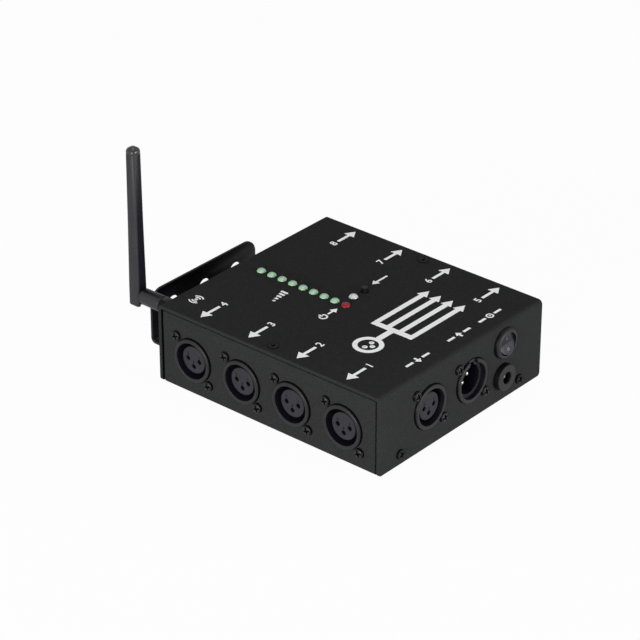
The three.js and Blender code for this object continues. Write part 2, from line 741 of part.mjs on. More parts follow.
// The whip: a rounded square bar, slimmer towards its cap, with a forked foot round the tongue.
const hingeCentre = vector(antennaX, halfDepth + hinge.reach, antennaHeight - hinge.drop);
const barOutline = evenShape(whip.wide, whip.thick, whip.corner).getPoints(bendSides - 1);
barOutline.pop();
const sections = [0, 1, 2].map((step) => {
  const angle = (Math.PI / 4) * step;
  const inset = whip.footRound * (1 - Math.sin(angle));
  return [-whip.foot + whip.footRound * (1 - Math.cos(angle)), 1 - (inset * 2) / whip.thick];
});
sections.push([hinge.round * 2, 1]);
capRiseShares.forEach((riseShare, i) => {
  const rise = whip.length - whipCap.rise * (1 - riseShare);
  sections.push([rise, whipCap.sizeShare * capSizeShares[i]]);
});
const barPoints = [];
const barFaces = [];
for (const [rise, share] of sections) {
  for (const point of barOutline) barPoints.push(point.x * share, point.y * share, rise);
}
const around = barOutline.length;
for (let level = 0; level + 1 < sections.length; level += 1) {
  for (let i = 0; i < around; i += 1) {
    const here = level * around + i;
    const next = level * around + ((i + 1) % around);
    barFaces.push(here, next, next + around, here, next + around, here + around);
  }
}
for (let i = 1; i + 1 < around; i += 1) {
  const last = (sections.length - 1) * around;
  barFaces.push(0, i + 1, i, last, last + i, last + i + 1);
}
const bar = new wasm.Manifold(
  new wasm.Mesh({
    numProp: 3,
    vertProperties: new Float32Array(barPoints),
    triVerts: new Uint32Array(barFaces),
  }),
);
const hingeAcross = new THREE.Matrix4().makeBasis(vector(0, 1, 0), up, vector(1, 0, 0));
const slotHalf = hinge.tongue / 2 + fitGap;
const slot = block(
  vector(-slotHalf, -whip.thick, -whip.thick),
  vector(slotHalf, whip.thick, whip.slotRise),
);
const hingePin = moved(rod(hinge.pin, -slotHalf - past, slotHalf + past, screwSides), hingeAcross);
const whipBody = join(cut(bar, slot), hingePin);
add("antenna_whip", whipBody.translate(hingeCentre.x, hingeCentre.y, hingeCentre.z), surfaces.matBlack);

// The hanging bracket: a leg screwed to the back end, a floor and an upright plate with three holes.
const plateOut = halfDepth + bracket.reach;
const innerBend = bracket.bend - bracket.sheet;
const bracketOutside = roundedShape(halfDepth, 0, plateOut, bracket.top, [
  bracket.bend,
  0,
  0,
  bracket.bend,
]);
const bracketHollow = roundedShape(
  halfDepth + bracket.sheet,
  bracket.sheet,
  plateOut - bracket.sheet,
  bracket.top + past,
  [innerBend, 0, 0, innerBend],
);
const bracketFold = cut(
  moved(pushed(bracketOutside, bracketLeft, bracketRight), alongX),
  moved(pushed(bracketHollow, bracketLeft - past, bracketRight + past), alongX),
  block(
    vector(bracketLeft - past, halfDepth - past, bracket.leg),
    vector(bracketRight + past, halfDepth + bracket.sheet + past, bracket.top + past),
  ),
);
const plateOutline = roundedShape(bracketLeft, -past, bracketRight, bracket.top, [
  0,
  bracket.corner,
  bracket.corner,
  0,
]);
const bracketPlate = bracketFold.intersect(moved(pushed(plateOutline, -plateOut, plateOut), alongY));
const bracketHoles = [-1, 0, 1].map((step) => {
  const place = toBack(bracket.x + step * bracket.holePitch, bracket.holeHeight);
  const fromLeg = bracket.sheet + past;
  return moved(rod(bracket.hole, fromLeg, bracket.reach + past, insertSides), place);
});
const bracketScrews = bracketScrewPlaces.map((place) => {
  const onLeg = place.clone().multiply(new THREE.Matrix4().makeTranslation(0, 0, bracket.sheet));
  return moved(panScrew(bracketScrew, bracketScrew.length), onLeg);
});
add("hanging_bracket", join(cut(bracketPlate, ...bracketHoles), ...bracketScrews), surfaces.bracketCoat);

// Rubber feet under the four corners.
const footBody = turned(
  [
    [0, foot.height],
    [foot.radius - foot.taper, foot.height],
    [foot.radius, 0],
    [0, 0],
  ],
  lampSides,
);
for (const [nameX, sideX] of [["left", -1], ["right", 1]]) {
  for (const [nameY, sideY] of [["front", -1], ["back", 1]]) {
    const place = toBottom(sideX * (halfWidth - foot.fromSide), sideY * (halfDepth - foot.fromEnd));
    add("foot_" + nameY + "_" + nameX, moved(footBody, place), surfaces.rubber);
  }
}

// The main board lies on the stand-offs, with two columns of chips; the radio module sits on it.
const boardFace = mainBoard.bottom + mainBoard.thick;
const mainPlate = block(
  vector(-boardHalf, boardFront, mainBoard.bottom),
  vector(boardHalf, boardBack, boardFace),
);
const chips = [];
for (const rowShare of chipRowShares) {
  for (const columnShare of chipColumnShares) {
    const x = columnShare * 2 * boardHalf;
    const y = (boardFront + boardBack) / 2 + rowShare * (boardBack - boardFront);
    chips.push(
      block(
        vector(x - chip.width / 2, y - chip.depth / 2, boardFace - mainBoard.thick / 2),
        vector(x + chip.width / 2, y + chip.depth / 2, boardFace + chip.height),
      ),
    );
  }
}
add("main_board", join(mainPlate, ...chips), surfaces.board);
const radioShape = evenShape(radio.width, radio.depth, radio.corner);
const radioCan = pushed(radioShape, boardFace, boardFace + radio.height);
const radioX = -boardHalf + radio.inset + radio.width / 2;
const radioY = boardBack - radio.back - radio.depth / 2;
add("radio_module", radioCan.translate(radioX, radioY, 0), surfaces.bright);

// The origin is under the middle of the whole part, level with the feet.
const box = new THREE.Box3().setFromObject(splitter);
const middle = box.getCenter(new THREE.Vector3());
splitter.position.set(-middle.x, -middle.y, -box.min.z);

export default splitter;
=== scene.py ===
import math
from types import SimpleNamespace as Sizes
import bmesh
import bpy
from mathutils import Matrix, Vector


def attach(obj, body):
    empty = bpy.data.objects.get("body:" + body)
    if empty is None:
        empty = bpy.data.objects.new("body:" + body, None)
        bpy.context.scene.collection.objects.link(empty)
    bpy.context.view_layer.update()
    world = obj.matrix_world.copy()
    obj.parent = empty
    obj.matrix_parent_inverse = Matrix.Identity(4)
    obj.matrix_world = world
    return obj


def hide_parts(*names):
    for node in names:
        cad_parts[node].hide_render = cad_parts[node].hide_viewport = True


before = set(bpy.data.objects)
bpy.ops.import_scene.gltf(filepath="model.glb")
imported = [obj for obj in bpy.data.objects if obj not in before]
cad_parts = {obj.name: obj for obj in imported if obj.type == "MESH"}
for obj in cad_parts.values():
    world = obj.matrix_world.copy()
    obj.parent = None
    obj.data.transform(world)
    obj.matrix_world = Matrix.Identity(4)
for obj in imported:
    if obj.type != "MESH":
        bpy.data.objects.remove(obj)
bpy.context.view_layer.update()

# Lengths are millimetres until a mesh is written; a panel's frame has x right and y up as seen from outside.
# Places are measured from the middle of the case's underside, and ORIGIN carries them to the model's origin.
MM = 0.001
CASE_WIDTH, CASE_DEPTH, CASE_HEIGHT = 131.0, 146.4, 44.35
HALF_WIDTH, HALF_DEPTH = CASE_WIDTH / 2, CASE_DEPTH / 2
COVER_SHEET, COVER_BEND = 2.0, 2.6
CHASSIS_SHEET, CHASSIS_BEND = 1.5, 2.0
SEAM_TOP, SEAM_FRONT, SEAM_BACK = 0.38, 0.7, 1.5
COVER_EDGE, CHASSIS_EDGE, BRACKET_EDGE = 0.35, 0.3, 0.3
NUT_EDGE, COUPLING_EDGE, KNUCKLE_EDGE, INLET_EDGE = 0.2, 0.3, 0.25, 0.3
PAST = 1.0      # how far a cutter runs past what it cuts
FIT_GAP = 0.3
NEAR = 0.05     # how far from a face a test or an overlap may be
STEEP = 0.5     # a face whose normal has less than this along an axis stands along it
SIDES = (("left", -1), ("right", 1))

SOCKET = Sizes(ring=12.0, hole=12.3, proud=1.45, round=0.9, mouth=9.925, lip=0.3, chamfer=0.2,
               flange=(26.0, 28.5), flange_corner=3.0, flange_sheet=2.0, depth=19.5)
SOCKET_SCREW = Sizes(head=2.75, proud=1.9, shank=1.3, hole=1.65, right=10.85, up=10.8)
PAN_CROWN = ((0, 1), (0.35, 0.985), (0.62, 0.93), (0.8, 0.82), (0.91, 0.68), (0.975, 0.5), (1, 0.3), (1, 0))
PAN_RECESS = Sizes(reach=0.8, width=0.36, depth=0.75, painted=0.84, rim=0.8)
RECESS_TURNS, RECESS_TAPER = (20, 110), 0.35
INSERT = Sizes(core=7.5, sunk=0.4, bevel=0.45, gap_depth=12.0, depth=18.5)
CONTACT = Sizes(circle=3.81, hole=1.25, chamfer=0.25, depth=9.0)
CONTACT_TURNS = (0, -90, 180)
CONTACT_DIGITS = ("1", "3", "2")
DIGIT = Sizes(size=2.3, rise=2.5, lift=0.03, bolder=0.09)
PLUG = Sizes(step=1.4, bore=8.075, floor=17.5, depth=21.0, notch=6.4, notch_top=10.6, notch_depth=6.0,
             slot=5.4, slot_floor=0.1, chamfer=0.2)
PIN = Sizes(radius=1.2, tip=5.2, round=0.8, tail=2.0, hole=1.5)
SIDE_SOCKET_HEIGHT = 20.3
SIDE_SOCKETS = (49.4, 16.2, -17.0, -50.2)
FRONT_SOCKET, FRONT_PLUG = (-26.5, 22.95), (7.0, 22.95)
CASE_SCREW = Sizes(head=2.7, proud=1.7, shank=1.4, hole=1.7, length=7.0, height=6.3)
FRONT_SCREWS, BACK_SCREWS = (-49.6, 46.78), (-45.0, 46.8)
TAB = Sizes(width=9.4, height=11.5, reach=5.75)
TOP_TAB = Sizes(reach=11.5, half=3.5)
TOP_SCREW = Sizes(head=2.5, taper=1.3, shank=1.4, hole=1.7, length=5.0, proud=0.45, inset=5.9,
                  edge=0.12, side=0.1, chamfer=0.2)
TOP_RECESS = Sizes(reach=1.5, width=0.7, depth=1.1, painted=1.6, rim=0.1)
BEZEL = Sizes(at=(33.5, 33.25), radius=8.45, proud=2.9, opening=6.3, round=0.25, step=(0.08, 0.07))
BEZEL_CROWN = ((6.9, 2.8), (7.4, 2.56), (7.85, 2.2), (8.2, 1.78), (8.4, 1.35), (8.45, 0.9))
SWITCH = Sizes(radius=7.1, hole=7.4, depth=15.0, floor=9.0)
ROCKER = Sizes(radius=5.94, pivot=1.2, valley=1.6, tilt=22.0, foot=5.2, edge=0.18)
KEY_MARK = Sizes(outer=0.85, inner=0.55, off=-3.0, half=0.13, on=(2.2, 3.8), rise=0.03, sunk=0.02)
JACK = Sizes(at=(32.7, 14.15), collar=7.25, proud=3.5, bevel=0.9, bore=3.2, mouth=3.5, flare=0.35,
             barrel=5.7, hole=6.0, floor=9.5, depth=14.0)
JACK_PIN = Sizes(radius=1.1, sunk=2.0, round=0.3, tail=1.2, hole=1.4)
LAMP = Sizes(radius=2.45, hole=2.75, proud=1.55, foot=-6.55, rim=2.9, rim_thick=1.0)
LAMP_ROW = Sizes(x=-4.05, first=57.0, pitch=7.15, count=9)
WHITE_LAMP = (5.54, 2.72)
BUTTON = Sizes(at=(13.6, 1.9), stem=1.65, hole=2.15, proud=2.6, round=0.3, foot=-5.1)
ANTENNA = Sizes(at=(-52.3, 35.75), hole=3.4, thread=3.1, out=5.6, back=9.0)
THREAD = Sizes(pitch=0.35, depth=0.25, lead=0.3, steps=9)
PANEL_NUT, INNER_NUT = Sizes(across=8.0, thick=2.0), Sizes(across=10.0, thick=2.4)
COUPLING_NUT = Sizes(across=8.0, near=2.4, far=8.6, bore=3.4, lip=2.3, lip_thick=1.3)
KNUCKLE = Sizes(flange=3.1, flange_thick=1.1, neck=2.0, near=8.9, far=22.7, radius=4.4, round=0.9)
HINGE = Sizes(reach=26.8, drop=2.3, tongue=3.4, round=3.4, pin=1.0, hole=1.3, scoop=5.2)
TONGUE_ROOT = Sizes(low=-3.4, high=1.5, inner=3.0, outer=1.0)
WHIP = Sizes(wide=7.0, thick=7.4, corner=1.6, length=86.8, foot=3.7, foot_round=0.8, slot_rise=4.3, cap=4.0,
             top_share=1.046, waist=0.5, waist_round=0.5, cap_painted=0.9)
CAP_RISES = (0.0, 0.02, 0.05, 0.3, 0.5, 0.68, 0.82, 0.92, 0.98, 1.0)
CAP_SIZES = (1.0, 0.985, 0.97, 1.0, 0.965, 0.85, 0.68, 0.47, 0.23, 0.0)
BRACKET = Sizes(x=0.9, width=81.8, sheet=1.5, bend=3.0, reach=30.5, top=30.5, corner=8.0, leg=14.0,
                hole=4.5, pitch=24.6, height=17.15, chamfer=0.3)
BRACKET_SCREW = Sizes(head=3.0, proud=1.8, shank=1.4, length=5.5, x=28.0, height=7.5)
FOOT = Sizes(radius=5.0, taper=0.6, height=4.0, x=52.3, y=60.4, round=0.4, well=1.5, deep=1.0)
STAND_OFFS = Sizes(radius=3.0, top=7.5, x=34.3, y=(-41.4, 53.4))
ORIGIN = Vector((0.0, -13.3667, FOOT.height))
FINE, MEDIUM, COARSE = 96, 48, 24
ALONG_X = Matrix(((0, 0, 1, 0), (1, 0, 0, 0), (0, 1, 0, 0), (0, 0, 0, 1)))
ALONG_Y = Matrix(((1, 0, 0, 0), (0, 0, 1, 0), (0, 1, 0, 0), (0, 0, 0, 1)))
AGAINST_Y = Matrix(((1, 0, 0, 0), (0, 0, -1, 0), (0, 1, 0, 0), (0, 0, 0, 1)))


def facing(outward, x, y, z):
    """The frame of a panel that faces outward, with its zero at (x, y, z)."""
    outward = Vector(outward)
    upward = Vector((0, 1, 0)) if abs(outward.z) > 0 else Vector((0, 0, 1))
    place = Matrix((upward.cross(outward), upward, outward)).transposed().to_4x4()
    place.translation = Vector((x, y, z))
    return place


def to_front(x, height):
    return facing((0, -1, 0), x, -HALF_DEPTH, height)


def to_back(x, height):
    return facing((0, 1, 0), x, HALF_DEPTH, height)


def to_side(side, y, height):
    return facing((side, 0, 0), side * HALF_WIDTH, y, height)


def to_top(x, y):
    return facing((0, 0, 1), x, y, CASE_HEIGHT)


def to_bottom(x, y):
    return facing((0, 0, -1), x, y, 0.0)


def at(x, y, z=0.0):
    return Matrix.Translation((x, y, z))


def spin(degrees, axis):
    return Matrix.Rotation(math.radians(degrees), 4, axis)


def arc(centre, radius, start, end, steps):
    """Points on an arc in degrees, both ends included."""
    turns = [math.radians(start + (end - start) * i / steps) for i in range(steps + 1)]
    return [(centre[0] + radius * math.cos(t), centre[1] + radius * math.sin(t)) for t in turns]


def skin(bm, loops, ring=False):
    """Faces between neighbouring loops, each of which may be one point; a ring closes on its first loop."""
    for upper, lower in zip(loops, loops[1:] + loops[:1] if ring else loops[1:]):
        count = max(len(upper), len(lower))
        for i in range(count if count > 1 else 0):
            a, b = [(loop[i % len(loop)], loop[(i + 1) % len(loop)]) for loop in (upper, lower)]
            bm.faces.new(dict.fromkeys((a[0], b[0], b[1], a[1])))
    bmesh.ops.recalc_face_normals(bm, faces=bm.faces)
    return bm


def turned(profile, sides=FINE, ring=False):
    """A turned solid about z from (radius, height) pairs, highest first; a ring closes on its first pair."""
    bm = bmesh.new()
    loops = []
    for radius, height in profile:
        turns = [2 * math.pi * i / sides for i in range(sides if radius > 0 else 1)]
        loops.append([bm.verts.new((radius * math.cos(t), radius * math.sin(t), height)) for t in turns])
    return skin(bm, loops, ring)


def rod(radius, low, high, sides=MEDIUM):
    return turned([(0, high), (radius, high), (radius, low), (0, low)], sides)


def round_pin(radius, top, edge, low, steps=5):
    """A pin with a rounded top."""
    profile = [(0, top)] + arc((radius - edge, top - edge), edge, 90, 0, steps)
    return turned(profile + [(radius, low), (0, low)], MEDIUM)


def prism(points, low, high):
    """An outline in x and y, pushed from low to high along z."""
    bm = bmesh.new()
    lower = [bm.verts.new((x, y, low)) for x, y in points]
    upper = [bm.verts.new((x, y, high)) for x, y in points]
    bm.faces.new(list(reversed(lower)))
    bm.faces.new(upper)
    for i in range(len(points)):
        j = (i + 1) % len(points)
        bm.faces.new((lower[i], lower[j], upper[j], upper[i]))
    bmesh.ops.recalc_face_normals(bm, faces=bm.faces)
    return bm


def block(low, high):
    return prism([(low[0], low[1]), (high[0], low[1]), (high[0], high[1]), (low[0], high[1])],
                 low[2], high[2])


def rounded(left, low, right, high, radii, steps=8):
    """A rectangle's outline with a radius at low right, high right, high left and low left."""
    points = []
    for i, radius in enumerate(radii):
        x = right - radius if i < 2 else left + radius
        y = low + radius if i in (0, 3) else high - radius
        points += arc((x, y), radius, 90 * i - 90, 90 * i, steps) if radius else [(x, y)]
    return points


def hexagon(across):
    return arc((0, 0), across / math.sqrt(3), 0, 300, 5)


def soften(bm, width, segments=3, angle=50):
    """Rounds the edges that turn by more than that angle."""
    sharp = [e for e in bm.edges if len(e.link_faces) == 2 and e.calc_face_angle(0) > math.radians(angle)]
    bmesh.ops.bevel(bm, geom=sharp, offset=width, segments=segments, profile=0.5, affect="EDGES",
                    clamp_overlap=True)
    return bm


def moved(bm, place):
    bmesh.ops.transform(bm, matrix=place, verts=bm.verts)
    return bm


def copied(bm, place):
    return moved(bm.copy(), place)


def together(*parts):
    """Several bmeshes as one."""
    whole = bmesh.new()
    for part in parts:
        mesh = bpy.data.meshes.new("part")
        part.to_mesh(mesh)
        whole.from_mesh(mesh)
        bpy.data.meshes.remove(mesh)
    return whole


def new_object(name, data):
    """An object with this data, in the scene."""
    made = bpy.data.objects.new(name, data)
    bpy.context.scene.collection.objects.link(made)
    return made


def evaluated(item):
    """An object's mesh after its modifiers, as a new bmesh."""
    graph = bpy.context.evaluated_depsgraph_get()
    mesh = bpy.data.meshes.new_from_object(item.evaluated_get(graph))
    bm = bmesh.new()
    bm.from_mesh(mesh)
    bpy.data.meshes.remove(mesh)
    return bm


def boolean(piece, tool, operation="DIFFERENCE"):
    """The piece cut by the tool, or joined to it, as a new bmesh."""
    objects = []
    for bm in (piece, tool):
        mesh = bpy.data.meshes.new("work")
        bm.to_mesh(mesh)
        objects.append(new_object("work", mesh))
    modifier = objects[0].modifiers.new("work", "BOOLEAN")
    modifier.object, modifier.operation, modifier.solver = objects[1], operation, "EXACT"
    result = evaluated(objects[0])
    for item in objects:
        data = item.data
        bpy.data.objects.remove(item)
        bpy.data.meshes.remove(data)
    return result


def painted(bm, pick):
    """Gives each face the material that pick works out from its middle and its normal."""
    for face in bm.faces:
        face.material_index = int(pick(face.calc_center_median(), face.normal))
    return bm


def finished_mesh(bm, name, surface, sharp=35):
    """A bmesh in millimetres as a mesh in metres, smooth but for its sharp edges."""
    bmesh.ops.scale(bm, vec=(MM, MM, MM), verts=bm.verts)
    mesh = bpy.data.meshes.new(name)
    bm.to_mesh(mesh)
    bm.free()
    for face in mesh.polygons:
        face.use_smooth = True
    mesh.set_sharp_from_angle(angle=math.radians(sharp))
    for item in surface if isinstance(surface, tuple) else (surface,):
        mesh.materials.append(item)
    return mesh


def place_piece(name, mesh, place, body, nodes=()):
    """Puts a mesh in the scene as a piece that rides on a body and stands for these nodes."""
    piece = new_object(name, mesh)
    spot = place.copy()
    spot.translation = (place.translation + ORIGIN) * MM
    piece.matrix_world = spot
    bpy.context.view_layer.update()
    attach(piece, body)
    if nodes:
        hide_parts(*nodes)


def add(name, bm, surface, body="case", nodes=(), place=Matrix(), sharp=35):
    place_piece(name, finished_mesh(bm, name, surface, sharp), place, body, nodes)


# Materials. Every one is made from noise in the object's own coordinates; some also darken faces by their
# normal as painted shade, and three are dark painted shade for recesses, bores and the sheet's inside.
BLOTCH, RAMP_STOPS = 60.0, (0.32, 0.68)


def feed(tree, node, inputs):
    """Sets the node's inputs, each to a plain value or to another node's output."""
    for name, value in inputs.items():
        if isinstance(value, bpy.types.NodeSocket):
            tree.links.new(value, node.inputs[name])
        else:
            node.inputs[name].default_value = value


def add_node(tree, kind, inputs, **settings):
    """A new shader node with these inputs and settings."""
    made = tree.nodes.new("ShaderNode" + kind)
    for name, value in settings.items():
        setattr(made, name, value)
    feed(tree, made, inputs)
    return made


def node_surface(name, dark, light, rough, gloss=0.5, grain=900.0, bump=0.15, depth=0.00006, share=0.5,
                 painted_shade=None, **sockets):
    """A surface whose colour, roughness and fine relief come from noise at two scales.

    A single number for dark or light is a grey. The shade setting names an axis, the parts of the normal
    along it where the shade is whole and where it ends, and the colour it multiplies by: painted shade on
    those faces.
    """
    made = bpy.data.materials.new(name)
    made.use_nodes = True
    tree = made.node_tree
    place = add_node(tree, "TexCoord", {})
    fine, broad = [add_node(tree, "TexNoise", {"Scale": scale, "Detail": detail,
                                               "Vector": place.outputs["Object"]}).outputs["Fac"]
                   for scale, detail in ((grain, 3.0), (BLOTCH, 4.0))]
    blend = add_node(tree, "Mix", {"Factor": share, "A": fine, "B": broad}, data_type="FLOAT")
    ramp = add_node(tree, "ValToRGB", {"Fac": blend.outputs["Result"]})
    for stop, position, tone in zip(ramp.color_ramp.elements, RAMP_STOPS, (dark, light)):
        stop.position = position
        stop.color = (*(tone if isinstance(tone, tuple) else (tone,) * 3), 1)
    colour = ramp.outputs["Color"]
    # Painted shade: darkens the colour where the object-space normal stands this way, on walls, sides and
    # recesses.
    if painted_shade:
        axis, whole, end, shade_colour = painted_shade
        split = add_node(tree, "SeparateXYZ", {0: place.outputs["Normal"]})
        along = add_node(tree, "Math", {0: split.outputs[axis]}, operation="ABSOLUTE")
        turn = add_node(tree, "MapRange", {"From Min": whole, "From Max": end, "Value": along.outputs[0]})
        shaded = add_node(tree, "VectorMath", {0: colour, 1: shade_colour}, operation="MULTIPLY")
        mix = add_node(tree, "Mix", {0: turn.outputs["Result"], 6: shaded.outputs[0], 7: colour},
                       data_type="RGBA")
        colour = mix.outputs[2]
    spread = add_node(tree, "MapRange", {"To Min": rough[0], "To Max": rough[1], "Value": broad})
    relief = add_node(tree, "Bump", {"Strength": bump, "Distance": depth, "Height": fine})
    others = {socket.replace("_", " "): value for socket, value in sockets.items()}
    feed(tree, tree.nodes["Principled BSDF"], {
        "Base Color": colour, "Roughness": spread.outputs["Result"], "Normal": relief.outputs["Normal"],
        "Specular IOR Level": gloss, **others})
    return made


# Painted shade by normal (axis, whole, end, colour multiplier): darker walls of socket gaps, rings, screw
# heads, bezel and jack, the whip's narrow ±Y sides and the rocker's flat upper half.
GAP_SHADE = ("Z", 0.35, 0.8, (0.32, 0.29, 0.54))
WALL_SHADE = ("Z", 0.35, 0.8, (0.25, 0.26, 0.25))
BLACK_WALL_SHADE = ("Z", 0.4, 0.85, (0.12, 0.12, 0.12))
SCREW_WALL_SHADE = ("Z", 0.6, 0.95, (0.08, 0.08, 0.08))
WHIP_SIDE_SHADE = ("Y", 0.95, 0.83, (0.2, 0.2, 0.3))
KEY_HALF_SHADE = ("Y", 0.1, 0.3, (0.3, 0.28, 0.38))
coat = node_surface("matt_coat", (0.0122, 0.0128, 0.0123), (0.0212, 0.0223, 0.0215), (0.7, 0.85), 0.03,
                    1500.0, 0.5, depth=0.00008, share=0.12)
bracket_coat = node_surface("satin_coat", (0.006, 0.006, 0.007), (0.01, 0.01, 0.012), (0.35, 0.45), 0.12,
                            700.0, 0.12)
head_coat = node_surface("head_coat", 0.012, 0.0195, (0.6, 0.75), 0.03, 1300.0, painted_shade=BLACK_WALL_SHADE)
shell_coat = node_surface("shell_coat", 0.0115, 0.016, (0.32, 0.42), 0.11, 1100.0, 0.08, painted_shade=WALL_SHADE)
# The socket bores' walls take this dark navy colour, a painted shade.
bore_shade = node_surface("bore_shade", (0.0038, 0.0036, 0.0065), (0.0062, 0.0058, 0.0102), (0.4, 0.5), 0.07,
                         1100.0, 0.12)
# Near-black painted shade for the inside of the folded cover, so seams and gaps read dark.
inner_shade = node_surface("inner_shade", 0.002, 0.005, (0.6, 0.7), 0.02, 1100.0, 0.12)
insert_plastic = node_surface("insert_plastic", (0.0146, 0.0145, 0.0175), (0.0218, 0.0217, 0.0258),
                              (0.55, 0.7), 0.1, 1400.0, 0.2, painted_shade=GAP_SHADE)
black_plastic = node_surface("black_plastic", 0.018, 0.026, (0.5, 0.62), 0.06, 1200.0, 0.18,
                             painted_shade=BLACK_WALL_SHADE)
whip_plastic = node_surface("whip_plastic", (0.0178, 0.0178, 0.0196), (0.0248, 0.0248, 0.0272),
                            (0.35, 0.45), 0.1, 1300.0, 0.12, painted_shade=WHIP_SIDE_SHADE)
cap_plastic = node_surface("cap_plastic", 0.014, 0.02, (0.16, 0.22), 0.35, 1300.0, 0.04)
switch_plastic = node_surface("switch_plastic", 0.017, 0.024, (0.4, 0.5), 0.08, bump=0.08,
                              painted_shade=BLACK_WALL_SHADE)
key_plastic = node_surface("key_plastic", (0.023, 0.0225, 0.028), (0.031, 0.0305, 0.037), (0.25, 0.35),
                           0.15, 500.0, 0.04, painted_shade=KEY_HALF_SHADE)
bright_metal = node_surface("bright_metal", 0.62, 0.75, (0.16, 0.28), bump=0.06, Metallic=1.0)
pin_metal = node_surface("pin_metal", 0.34, 0.46, (0.25, 0.35), bump=0.06, Metallic=1.0)
screw_black = node_surface("screw_black", 0.011, 0.018, (0.3, 0.4), 0.1, 1300.0, 0.1, painted_shade=SCREW_WALL_SHADE)
# Near-black painted shade for the cross recesses of the screws.
recess_shade = node_surface("recess_shade", 0.001, 0.003, (0.6, 0.7), 0.02, 1300.0, 0.1)
rubber = node_surface("rubber", 0.012, 0.02, (0.75, 0.9), 0.1, 1500.0, 0.35)
white_ink = node_surface("white_ink", 0.9, 0.96, (0.6, 0.7), 0.2, 1600.0, 0.1)
grey_ink = node_surface("grey_ink", 0.12, 0.18, (0.5, 0.6), grain=1600.0, bump=0.1)
dark_ink = node_surface("dark_ink", 0.004, 0.008, (0.6, 0.7), 0.05, 1600.0, 0.1)
board_green = node_surface("board_green", (0.012, 0.08, 0.03), (0.02, 0.13, 0.05), (0.35, 0.5),
                           grain=600.0)
resins = {
    colour: node_surface(colour + "_resin", dark, light, rough, gloss, 300.0, 0.02,
                         Transmission_Weight=clear, IOR=1.45)
    for colour, dark, light, rough, gloss, clear in (
        ("green", (0.21, 0.37, 0.235), (0.28, 0.44, 0.3), (0.2, 0.3), 0.5, 0.15),
        ("red", (0.13, 0.004, 0.009), (0.2, 0.007, 0.014), (0.25, 0.35), 0.2, 0.08),
        ("white", 0.4, 0.48, (0.2, 0.3), 0.5, 0.15))}


def hole(radius, sheet, chamfer=0.15, sides=MEDIUM):
    """A straight cutter for a panel, with a small chamfer at the outer face."""
    return turned([(0, PAST), (radius + chamfer + PAST, PAST), (radius + chamfer, 0), (radius, -chamfer),
                   (radius, -sheet - PAST), (0, -sheet - PAST)], sides)


def socket_holes(place, sheet):
    """The cutters for a socket and its two screws."""
    screw_holes = [copied(hole(SOCKET_SCREW.hole, sheet), place @ spot) for spot in socket_screw_spots]
    return [copied(hole(SOCKET.hole, sheet, SOCKET.chamfer, FINE), place)] + screw_holes


socket_screw_spots = [at(sign * SOCKET_SCREW.right, -sign * SOCKET_SCREW.up) for sign in (-1, 1)]
lamp_places = [to_top(LAMP_ROW.x, LAMP_ROW.first - LAMP_ROW.pitch * i)
               for i in range(LAMP_ROW.count)] + [to_top(*WHITE_LAMP)]
top_screw_places = [to_top(side * (HALF_WIDTH - TOP_SCREW.inset), 0.0) for side in (-1, 1)]
case_screw_places = [to_front(x, CASE_SCREW.height) for x in FRONT_SCREWS]
case_screw_places += [to_back(x, CASE_SCREW.height) for x in BACK_SCREWS]
bracket_screw_places = [to_back(BRACKET.x + side * BRACKET_SCREW.x, BRACKET_SCREW.height)
                        for side in (-1, 1)]


def make_cover():
    """The top and both ends, folded from one sheet, with the panel holes."""
    inner = COVER_BEND - COVER_SHEET
    front = (-HALF_DEPTH + COVER_BEND, CASE_HEIGHT - COVER_BEND)
    back = (HALF_DEPTH - COVER_BEND, CASE_HEIGHT - COVER_BEND)
    outline = [(-HALF_DEPTH, 0.0)] + arc(front, COVER_BEND, 180, 90, 10) + arc(back, COVER_BEND, 90, 0, 10)
    outline += [(HALF_DEPTH, 0.0), (HALF_DEPTH - COVER_SHEET, 0.0)] + arc(back, inner, 0, 90, 6)
    outline += arc(front, inner, 90, 180, 6) + [(-HALF_DEPTH + COVER_SHEET, 0.0)]
    fold = moved(prism(outline, -HALF_WIDTH, HALF_WIDTH), ALONG_X)
    corners = []
    for side, low, high in ((-1, 270, 180), (1, -90, 0)):
        curve = arc((side * (HALF_WIDTH - CHASSIS_BEND), CHASSIS_BEND), CHASSIS_BEND, low, high, 8)
        points = [(side * (HALF_WIDTH + PAST), -PAST), (curve[0][0], -PAST)] + curve
        points.append((side * (HALF_WIDTH + PAST), CHASSIS_BEND))
        corners.append(moved(prism(points, -HALF_DEPTH - PAST, HALF_DEPTH + PAST), AGAINST_Y))
    fold = soften(boolean(fold, together(*corners)), COVER_EDGE)
    holes = socket_holes(to_front(*FRONT_SOCKET), COVER_SHEET)
    holes += socket_holes(to_front(*FRONT_PLUG), COVER_SHEET)
    round_holes = [(SWITCH, to_front(*BEZEL.at)), (JACK, to_front(*JACK.at)),
                   (ANTENNA, to_back(*ANTENNA.at)), (BUTTON, to_top(*BUTTON.at))]
    round_holes += [(LAMP, place) for place in lamp_places]
    round_holes += [(CASE_SCREW, place) for place in case_screw_places + bracket_screw_places]
    holes += [copied(hole(piece.hole, COVER_SHEET), place) for piece, place in round_holes]
    head = TOP_SCREW.head + FIT_GAP
    rim = head + TOP_SCREW.chamfer
    sunk = turned([(0, PAST), (rim, PAST), (rim, NEAR), (head, -TOP_SCREW.edge),
                   (TOP_SCREW.hole, -TOP_SCREW.taper), (TOP_SCREW.hole, -COVER_SHEET - PAST),
                   (0, -COVER_SHEET - PAST)], MEDIUM)
    holes += [copied(sunk, place) for place in top_screw_places]
    within = COVER_SHEET - NEAR
    # The sheet's inner faces take the second material, a near-black painted shade.
    return painted(boolean(fold, together(*holes)), lambda spot, normal: abs(spot.y) < HALF_DEPTH - within
                   and spot.z < CASE_HEIGHT - within and abs(normal.x) < STEEP)


